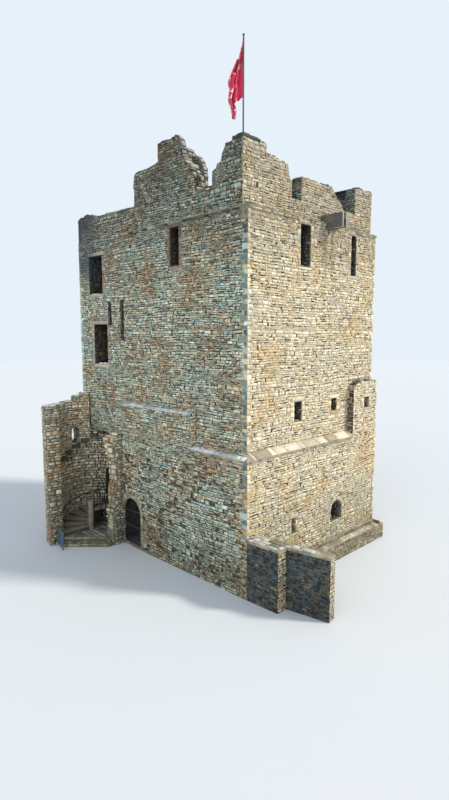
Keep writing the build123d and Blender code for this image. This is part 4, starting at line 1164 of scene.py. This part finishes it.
def voussoirs(masonry, plane, curve, depth, size, shades):
    """Wedge stones set along an arch."""
    face = Arch(plane, curve)
    count = max(3, round(face.reach[-1] / size))
    width = face.reach[-1] / count
    cells = [(index * width, (index + 1) * width, 0.0, depth * draw.uniform(0.9, 1.08))
             for index in range(count)]
    masonry.lay(face, cells, dressing, shades)


def half_round(middle, radius, spring, steps):
    """Points of a half circle over an opening, across and up."""
    angles = [math.pi * step / steps for step in range(steps + 1)]
    return [(middle + radius * math.cos(angle), spring + radius * math.sin(angle)) for angle in angles]


gate_spring = 1.81
gate_joint = 0.01


def gate_arch(grow=0.0):
    """The arch over the gate, from its right springing round to the left, as points across and up."""
    low, high = openings["gate_reveal"]
    left, right = low[0] - gate_joint - grow, high[0] + gate_joint + grow
    middle, half, rise = (left + right) / 2, (right - left) / 2, 0.73 + grow
    points = []
    for step in range(25):
        angle = math.pi * step / 24
        lean = abs(math.cos(angle)) ** 0.92
        points.append((middle + half * math.copysign(lean, math.cos(angle)),
                       gate_spring + rise * math.sin(angle) ** 0.95))
    return points


def clear_of_gate(reveal_left):
    """Keeps stones off the reveals and the surround's back where the leaf shuts and swings."""
    surround_low, surround_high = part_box("gate_surround")
    low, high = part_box("gate_leaf")
    top = high.z + 0.04
    back = surround_high.y
    swing = (low.x - high.x - low.y + 0.08, 0.1 - surround_low.y, 0.0, top)
    taken_on((-1, 0, 0), -surround_high.x).append(swing)
    taken_on((0, 1, 0), back).append((-high.x - 0.03, 0.03 - low.x, 0.0, top))
    taken_on((1, 0, 0), reveal_left).append((back - 0.015, back + 0.02, 0.0, top))


def build_gate_surround():
    """Jamb stones and a ring of thin voussoirs on the gate's surround."""
    plane = Plane((0, -1, 0), -ground_front)
    low, high = openings["gate_reveal"]
    left, right = low[0] - gate_joint, high[0] + gate_joint
    turret_side = left - 0.09
    work = Masonry("gate_surround_stones", slot="dressed_stone")
    cells = []
    for side in (0, 1):
        level = 0.0
        while level < gate_spring - 0.01:
            rise = min(draw.uniform(0.24, 0.4), gate_spring - level)
            reach = draw.uniform(0.24, 0.5) if side == 0 else draw.uniform(0.08, 0.24)
            ends = (max(left - reach, turret_side), left) if side == 0 else (right, right + reach)
            cells.append((*ends, level, level + rise))
            level += rise
    clear_of_gate(low[0])
    work.lay(plane, cells, dressing, dressing_shades)
    taken = taken_on((0, -1, 0), -ground_front)
    taken += cells
    voussoirs(work, plane, gate_arch(), 0.2, 0.1, dressing_shades)
    half = 0.09
    for x, z in gate_arch(0.1)[1:-1]:
        taken.append((x - half, x + half, z - 0.10, z + 0.10))
    taken.append((left, right, 0.0, 2.3))
    work.finish()


def build_arched_window():
    """Ring of small voussoirs over the round-headed window low on the right side."""
    plane = Plane((1, 0, 0), ground_right)
    low, high = openings["right_arched_window"]
    left, right = low[1] - clearance, high[1] + clearance
    middle, radius, spring = (left + right) / 2, (right - left) / 2, high[2] + 0.005
    curve = half_round(middle, radius, spring, 16)
    work = Masonry("arched_window_stones", slot="dressed_stone")
    voussoirs(work, plane, curve, 0.2, 0.11, sunlit_right_shades)
    taken = taken_on((1, 0, 0), ground_right)
    for x, z in curve:
        ends = sorted((x, middle + (x - middle) * 1.4))
        taken.append((*ends, z - 0.08, z + 0.18))
    taken.append((left, right, low[2] - clearance, spring + radius))
    work.finish()


walls = [node for node, slot in slot_of.items() if slot in ("wall_rubble", "turret_rubble")]
walls.append("gate_surround")


def side_of(normal):
    """The side of the keep that a face looks to."""
    if normal.y < -0.7:
        return "front"
    if normal.x > 0.7:
        return "right"
    return "back" if normal.y > 0.7 else "left"


def on_drum(face, middle, wide):
    """True for the facets of the turret's curved faces, which are clad as a drum."""
    radial = Vector((middle.x - well_centre.x, middle.y - well_centre.y, 0))
    off_drum = min(abs(radial.length - turret_radius), abs(radial.length - well_radius))
    return wide < 0.3 or (abs(face.normal.dot(radial.normalized())) > 0.985 and off_drum < 0.08)


def style_of(side, normal, middle):
    """How a standing face is laid: as a wall, a broken core or a reveal."""
    style = {"front": rubble, "right": sunny_rubble}.get(side, plain_rubble)
    # Right-facing faces high in the broken parapets take pale stones: painted sunlight
    if side == "right" and middle.z > wall_head + 0.5 and middle.x < half_x - 1.0:
        style = lichen_and_sunlit_crown
    # Deep reveals and the face beside the pier take dark stones: painted shadow
    deep = max(abs(middle.x) - half_x, abs(middle.y) - half_y) < -0.05
    beside_pier = side == "front" and middle.x > half_x and middle.y > 0
    if deep and middle.z < wall_head or beside_pier:
        in_right_wall = side == "front" and middle.x > half_x - 1.5 and not beside_pier
        style = shaded_reveal if in_right_wall else reveal_shadow_rubble
    return style


def build_walls():
    """Stones on each bare flat face of the walls, one piece for a side's lower, middle and upper part."""
    works = {}

    def work(name):
        return works.setdefault(name, Masonry(name + "_stones"))

    for face, area, extent in flat_faces(walls):
        left, right, low, high = extent
        normal = face.normal
        middle = face.spot((left + right) / 2, (low + high) / 2)
        if area < 0.04 or normal.z < -0.3:
            continue
        near_turret = math.hypot(middle.x - well_centre.x, middle.y - well_centre.y) < turret_radius + 0.1
        if near_turret and abs(normal.z) < 0.3 and on_drum(face, middle, right - left):
            continue
        side = side_of(normal)
        if normal.z > 0.3:
            sloping_foot = normal.z < 0.98 and middle.z < turret_head - 0.1 and not near_turret
            if high - low < 0.06 or right - left < 0.06 or sloping_foot:
                continue
            # Sun-facing broken tops take pale stones as painted sunlight; the turret's pale tops are lichen and
            # painted sunlight
            sunlit_broken_core = middle.z > wall_head + 0.5 and normal.x > 0.2 and middle.x < half_x - 1.0
            style = lichen_and_sunlit_crown if sunlit_broken_core or (near_turret and middle.z > 5.0) else crown
            clad(work("crown"), face, style, extent)
            continue
        taken = taken_on(normal, face.offset)
        if near_turret and middle.z < turret_head and middle.y < ground_front - 0.02:
            clad(work("turret_end"), face, toothed, extent, taken=taken)
            continue
        if middle.x > ground_right - 0.05 and middle.z < 2.6 and area < 12:
            style = sunny_rubble if side == "right" else shadow_rubble
            clad(work("stub_wall"), face, style, extent, taken=taken)
            continue
        style = style_of(side, normal, middle)
        cut = first_level + 0.2
        for part, base, top in (("lower", low, min(high, cut)),
                                ("middle", max(low, cut), min(high, middle_head)),
                                ("upper", max(low, middle_head), high)):
            if top - base > 0.02:
                tints = base_shades if style is rubble and part == "lower" else None
                clad(work(side + "_" + part), face, style, (left, right, base, top), bands, taken, tints)
    for made in works.values():
        made.finish()


def build_turret():
    """Stones round the turret, outside and in its well."""
    outer = Masonry("turret_outer_stones", slot="turret_rubble")
    inner = Masonry("turret_well_stones", slot="turret_rubble")
    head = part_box("turret_wall_by_keep")[1].z
    window_low, window_high = (Vector(corner) for corner in openings["turret_window"])
    across = (window_low + window_high) / 2 - well_centre
    bearing = math.atan2(across.y, across.x)
    half = (window_high.y - window_low.y) / 2 + clearance
    sill, spring = window_low.z - clearance, window_high.z
    for work, face, start, end, shades in ((outer, Drum(turret_radius, 1), 140, 402, None),
                                           (inner, Drum(well_radius, -1), -275, 5, lightened_well_shades)):
        left, right = (math.radians(angle) * face.radius for angle in (start, end))
        middle = bearing * face.side * face.radius
        voussoirs(work, face, half_round(middle, half, spring, 12), 0.13, 0.09, turret_shades)
        level = sill
        while level < spring - 0.02:
            rise = min(draw.uniform(0.12, 0.2), spring - level)
            for side in (-1, 1):
                ends = sorted((middle + side * half, middle + side * (half + draw.uniform(0.1, 0.2))))
                work.lay(face, [(*ends, level, level + rise)], dressing, turret_shades)
            level += rise
        taken = [(middle - reach, middle + reach, foot, top) for reach, foot, top in (
            (half + 0.12, sill, spring + 0.06), (half + 0.06, spring, spring + half * 0.75),
            (half * 0.7, spring, spring + half + 0.12))]
        clad(work, face, turret_rubble, (left, right, 0.0, head), bands, taken, shades)
        work.finish()


def build_paving():
    """Slabs on the platform, steps, landing, gateway and deck."""
    floors = Masonry("paving_slabs", riven_slate, "slate_paving")
    edges = Masonry("step_edge_stones", slot="slate_paving")
    for face, area, extent in flat_faces(["platform", "lower_step", "landing", "gate_threshold", "deck"]):
        left, right, low, high = extent
        if face.normal.z > 0.9:
            clad(floors, face, paving, extent)
        elif abs(face.normal.z) < 0.3 and right - left > 0.2 and high - low < 0.5:
            clad(edges, face, step_edges, extent)
    floors.finish()
    edges.finish()


def build_ledges():
    """Slabs on the ledges, the stub wall's cap, the string courses and the plinths."""
    ledges = Masonry("ledge_slab_stones", slot="dressed_stone")
    slopes = Masonry("ledge_slope_stones")
    for face, area, extent in flat_faces(["front_ledge", "right_ledge", "front_offset_wall"]):
        if not 0.3 < face.normal.z < 0.98 or area < 0.3:
            continue
        # Sun-facing ledges take the sunny slab shades, partly painted sunlight
        if face.normal.x > 0.3:
            clad(ledges, face, slabs, extent, shades=sunny_slab_shades)
        else:
            left, right, low, high = extent
            # The slope's outer part is laid in pale lip slabs, partly painted sunlight on the lip
            lip = low + (high - low) * 0.46
            clad(ledges, face, lip_slabs, (left, right, low, lip))
            clad(slopes, face, rubble, (left, right, lip, high))
    slopes.finish()
    for face, area, extent in flat_faces(["stub_cap"]):
        if face.normal.z > 0.9:
            clad(ledges, face, cap_slabs, extent)
    for node, shades, under_shades in (("string_course_front", shaded_front_shades, shaded_course_shades),
                                       ("string_course_right", sunlit_right_shades, sunlit_right_shades)):
        for face, area, extent in flat_faces([node]):
            if area > 0.1:
                # The front course's downward chamfer takes darker shades: painted shade under it
                below = face.normal.z < -0.3
                clad(ledges, face, course_slabs, extent, shades=under_shades if below else shades)
    ledges.finish()
    plinths = Masonry("plinth_stones", slot="dressed_stone")
    for face, area, extent in flat_faces(["plinth_right", "plinth_back"]):
        # Plinth tops take the pale sunny slab shades and their sides darker ones: painted sunlight and shade
        if area > 0.2 and face.normal.z > 0.3:
            clad(plinths, face, ashlar, extent, shades=sunny_slab_shades)
        elif area > 0.2 and face.normal.z > -0.3:
            clad(plinths, face, plinth_rubble, extent)
    plinths.finish()


def build_chute():
    """Slabs that make the chute a squared box: two cheeks with rims painted pale as sunlit, and a bottom between
    them.
    """
    box = Blocks("chute_slabs", material=riven_slate)
    low, high = chute_low, chute_high
    start, end, bottom = low.x + 0.02, high.x + 0.01, low.z + 0.03
    thick, wear = 0.064, 0.004
    for side in (low.y - 0.014, high.y - 0.05):
        box.add((start, side, bottom), (end, side + thick, high.z + 0.01), chute_shades, sunlit_rim_shades, wear)
    box.add((half_x + 0.01, low.y + 0.04, bottom + 0.02), (end - 0.02, high.y - 0.04, bottom + 0.1),
            sunlit_rim_shades, chute_shades, wear)
    box.finish()


def build_back_crest():
    """Dark courses and a slate on the back battlement behind the far merlon."""
    courses = Blocks("back_crest_blocks", "wall_rubble")
    low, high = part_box("back_parapet")
    head, slate = 18.17, 0.06
    level, left, right = high.z - 0.25, high.x - 1.42, high.x - 0.01
    while level < head - 0.01:
        top = min(level + draw.uniform(0.1, 0.17), head)
        spot = left + draw.uniform(-0.03, 0.05)
        while spot < right - 0.05:
            reach = min(spot + draw.uniform(0.25, 0.5), right)
            courses.add((spot, low.y + 0.01, level), (reach - 0.01, high.y - 0.01, top), shadow_shades,
                        shadow_shades)
            spot = reach
        level = top
    courses.add((left - 0.04, low.y - 0.05, head - 0.02), (right + 0.05, high.y + 0.03, head + slate),
                chute_shades, chute_shades)
    courses.finish()


def build_merlon_coping():
    """Dark flat stones along the top of the corner merlon, proud of its faces."""
    stones = Blocks("merlon_coping_blocks")
    low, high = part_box("corner_merlon")
    width = 0.36
    for along_x, run in ((True, high.x - low.x), (False, 1.0)):
        spot = 0.0
        while spot < run - 0.05:
            step = min(draw.uniform(0.22, 0.4), run - spot)
            x, y = (low.x + spot, low.y - 0.04) if along_x else (high.x - width, low.y + spot)
            far_x, far_y = (x + step, y + width) if along_x else (high.x + 0.05, y + step)
            found = solids.ray_cast(Vector(((x + far_x) / 2, (y + far_y) / 2, 30.0)), Vector((0, 0, -1)))[0]
            if found and found.z > (high.z - 0.3 if along_x else wall_head + 1.2):
                stones.add((x, y, found.z - 0.06), (far_x - 0.01, far_y, found.z + draw.uniform(0.05, 0.08)),
                           crown_shades[:2], crown_shades[:2])
            spot += step
    stones.finish()


def thicken(piece, thickness, offset):
    """Gives a sheet its thickness, outward or to both sides."""
    bpy.context.view_layer.objects.active = piece
    solid = piece.modifiers.new("thickness", "SOLIDIFY")
    solid.thickness = thickness
    solid.offset = offset
    bpy.ops.object.modifier_apply(modifier=solid.name)


def build_treads():
    """A worn slab on each tread of the stair, from the treads' own outlines."""
    # The stump slabs are dark: partly burnt stone, partly painted shade of their undersides
    for node, name, colour in (("stair_winders", "tread_slabs", shade(134, 128, 112)),
                               ("upper_tread_stumps", "stump_slabs", shade(78, 72, 64))):
        source = frame["nodes"][node].data
        corners, outlines = [], []
        for face in source.polygons:
            if face.normal.z > 0.98:
                outlines.append(tuple(range(len(corners), len(corners) + len(face.vertices))))
                corners += [source.vertices[index].co + Vector((0, 0, 0.002)) for index in face.vertices]
        mesh = bpy.data.meshes.new(name)
        mesh.from_pydata(corners, [], outlines)
        give_tints(mesh, [colour] * len(corners))
        piece = dress(name, mesh, riven_slate, "slate_paving")
        bpy.ops.object.select_all(action="DESELECT")
        bpy.context.view_layer.objects.active = piece
        piece.select_set(True)
        bpy.ops.object.mode_set(mode="EDIT")
        bpy.ops.mesh.select_all(action="SELECT")
        bpy.ops.mesh.remove_doubles(threshold=0.001)
        bpy.ops.object.mode_set(mode="OBJECT")
        thicken(piece, 0.03, 1.0)


build_treads()
build_chute()
build_back_crest()
build_merlon_coping()
build_quoins()
build_dressings()
build_gate_surround()
build_arched_window()
build_walls()
build_turret()
build_paving()
build_ledges()


# Flag, hanging limp in folds from its hoist
flag_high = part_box("flag")[1]
pole_low, pole_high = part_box("flagpole")
pole_x, pole_y = (pole_low.x + pole_high.x) / 2, (pole_low.y + pole_high.y) / 2
hoist = 2.15
fly = 3.2


def build_flag():
    """A limp sheet in folds: it widens down from the pole's top, bellies twice and ends in a tail."""
    across, up = 110, 64
    folds, fold_depth = 4.4, 0.24
    top, length = flag_high.z + 0.10, 2.95
    away = Vector((-1, -1, 0)).normalized()
    aside = Vector((-1, 1, 0)).normalized()
    # Where the sheet's outer and inner edges hang, by the share of its length
    depths = (0.0, 0.24, 0.39, 0.537, 0.61, 0.67, 0.746, 0.84, 0.93, 1.0)
    outer = (0.03, 0.185, 0.385, 0.565, 0.485, 0.535, 0.56, 0.45, 0.41, 0.41)
    inner = (0.0, 0.0, 0.0, 0.0, 0.0, 0.0, 0.01, 0.07, 0.15, 0.16)
    points, uvs = [], []
    for j in range(up + 1):
        t = j / up
        for i in range(across + 1):
            s = i / across  # along the fly, as t is down the hoist
            drop = t * hoist * 0.98 + s ** 1.1 * (1.42 * (1 - t) + 0.84 * t)
            drop += 0.05 * s * noise.noise(Vector((4.0 * s, 5.0 * t, 0.5)))
            share = min(1.0, drop / length)
            near, far = np.interp(share, depths, inner), np.interp(share, depths, outer)
            turn = math.sin(math.pi * 0.5 * min(1.0, s / 0.8)) if s < 0.8 else 1 - 2.2 * (s - 0.8)
            crease = folds * s + 0.35 * math.sin(5.0 * s + 1.6 * t) + 0.5 * t
            uneven = 0.85 + 0.45 * noise.noise(Vector((3.0 * s, 2.0 * t, 7.0)))
            depth = min(fold_depth, 0.75 * s + 0.004) * uneven
            reach = near + (far - near) * turn + 0.03
            pull = depth * 0.22 * math.sin(4 * math.pi * crease + 0.6) * min(1.0, 4 * far)
            spot = Vector((pole_x, pole_y, top - drop)) + away * max(0.034, min(reach + pull, far + 0.03))
            points.append(spot + aside * depth * math.sin(2 * math.pi * crease))
            uvs.append((s * fly, (1 - t) * hoist))
    corners = [j * (across + 1) + i for j in range(up) for i in range(across)]
    faces = [(corner, corner + across + 1, corner + across + 2, corner + 1) for corner in corners]
    mesh = bpy.data.meshes.new("flag_sheet")
    mesh.from_pydata(points, [], faces)
    layer = mesh.uv_layers.new(name="cloth")
    for loop in mesh.loops:
        layer.data[loop.index].uv = uvs[loop.vertex_index]
    mesh.polygons.foreach_set("use_smooth", [True] * len(mesh.polygons))
    piece = dress("flag_sheet", mesh, finish_of["flag_cloth"], "flag_cloth")
    thicken(piece, 0.003, 0.0)
    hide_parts("flag")


build_flag()

# Floor, light and camera
bpy.ops.object.select_all(action="DESELECT")
bpy.ops.mesh.primitive_plane_add(size=400.0, location=(0, 0, -0.002))
floor = bpy.context.object
floor.name = "studio_floor"
floor_finish = Finish("studio_floor", 0.95)
floor_finish.set("Base Color", (0.66, 0.68, 0.70, 1.0))
floor.data.materials.append(floor_finish.material)

world = bpy.data.worlds.new("studio")
scene.world = world
world.use_nodes = True
background = world.node_tree.nodes["Background"]
background.inputs["Color"].default_value = (0.80, 0.88, 1.0, 1.0)
background.inputs["Strength"].default_value = 0.72
seen = world.node_tree.nodes.new("ShaderNodeBackground")
seen.inputs["Color"].default_value = (0.80, 0.88, 0.96, 1.0)
seen.inputs["Strength"].default_value = 1.0
rays = world.node_tree.nodes.new("ShaderNodeLightPath")
blend = world.node_tree.nodes.new("ShaderNodeMixShader")
shown = rays.outputs["Is Camera Ray"]
for ray in ("Is Glossy Ray", "Is Transmission Ray"):
    either = world.node_tree.nodes.new("ShaderNodeMath")
    either.operation = "MAXIMUM"
    world.node_tree.links.new(shown, either.inputs[0])
    world.node_tree.links.new(rays.outputs[ray], either.inputs[1])
    shown = either.outputs[0]
world.node_tree.links.new(shown, blend.inputs[0])
world.node_tree.links.new(background.outputs[0], blend.inputs[1])
world.node_tree.links.new(seen.outputs[0], blend.inputs[2])
world.node_tree.links.new(blend.outputs[0], world.node_tree.nodes["World Output"].inputs[0])


def sun(name, direction, strength, angle, colour):
    """A soft sun that shines from a direction."""
    data = bpy.data.lights.new(name, "SUN")
    data.energy = strength
    data.angle = math.radians(angle)
    data.color = colour
    lamp = bpy.data.objects.new(name, data)
    lamp.rotation_euler = Vector(direction).to_track_quat("Z", "Y").to_euler()
    scene.collection.objects.link(lamp)


sun("warm_key", (1.0, 0.75, 1.05), 2.7, 8.0, (1.0, 0.95, 0.86))
sun("cool_fill", (0.35, -0.8, 0.45), 0.85, 50.0, (0.90, 0.97, 1.0))

camera_data = bpy.data.cameras.new("camera")
camera_data.sensor_width = 36.0
camera_data.lens = 23.985
camera_data.clip_end = 1000.0
camera = bpy.data.objects.new("camera", camera_data)
camera.location = (20.65, -20.43, 10.8)
camera.rotation_euler = (math.radians(90 - 6.95), 0.0, math.radians(45))
scene.collection.objects.link(camera)
scene.camera = camera
scene.view_settings.view_transform = "Standard"
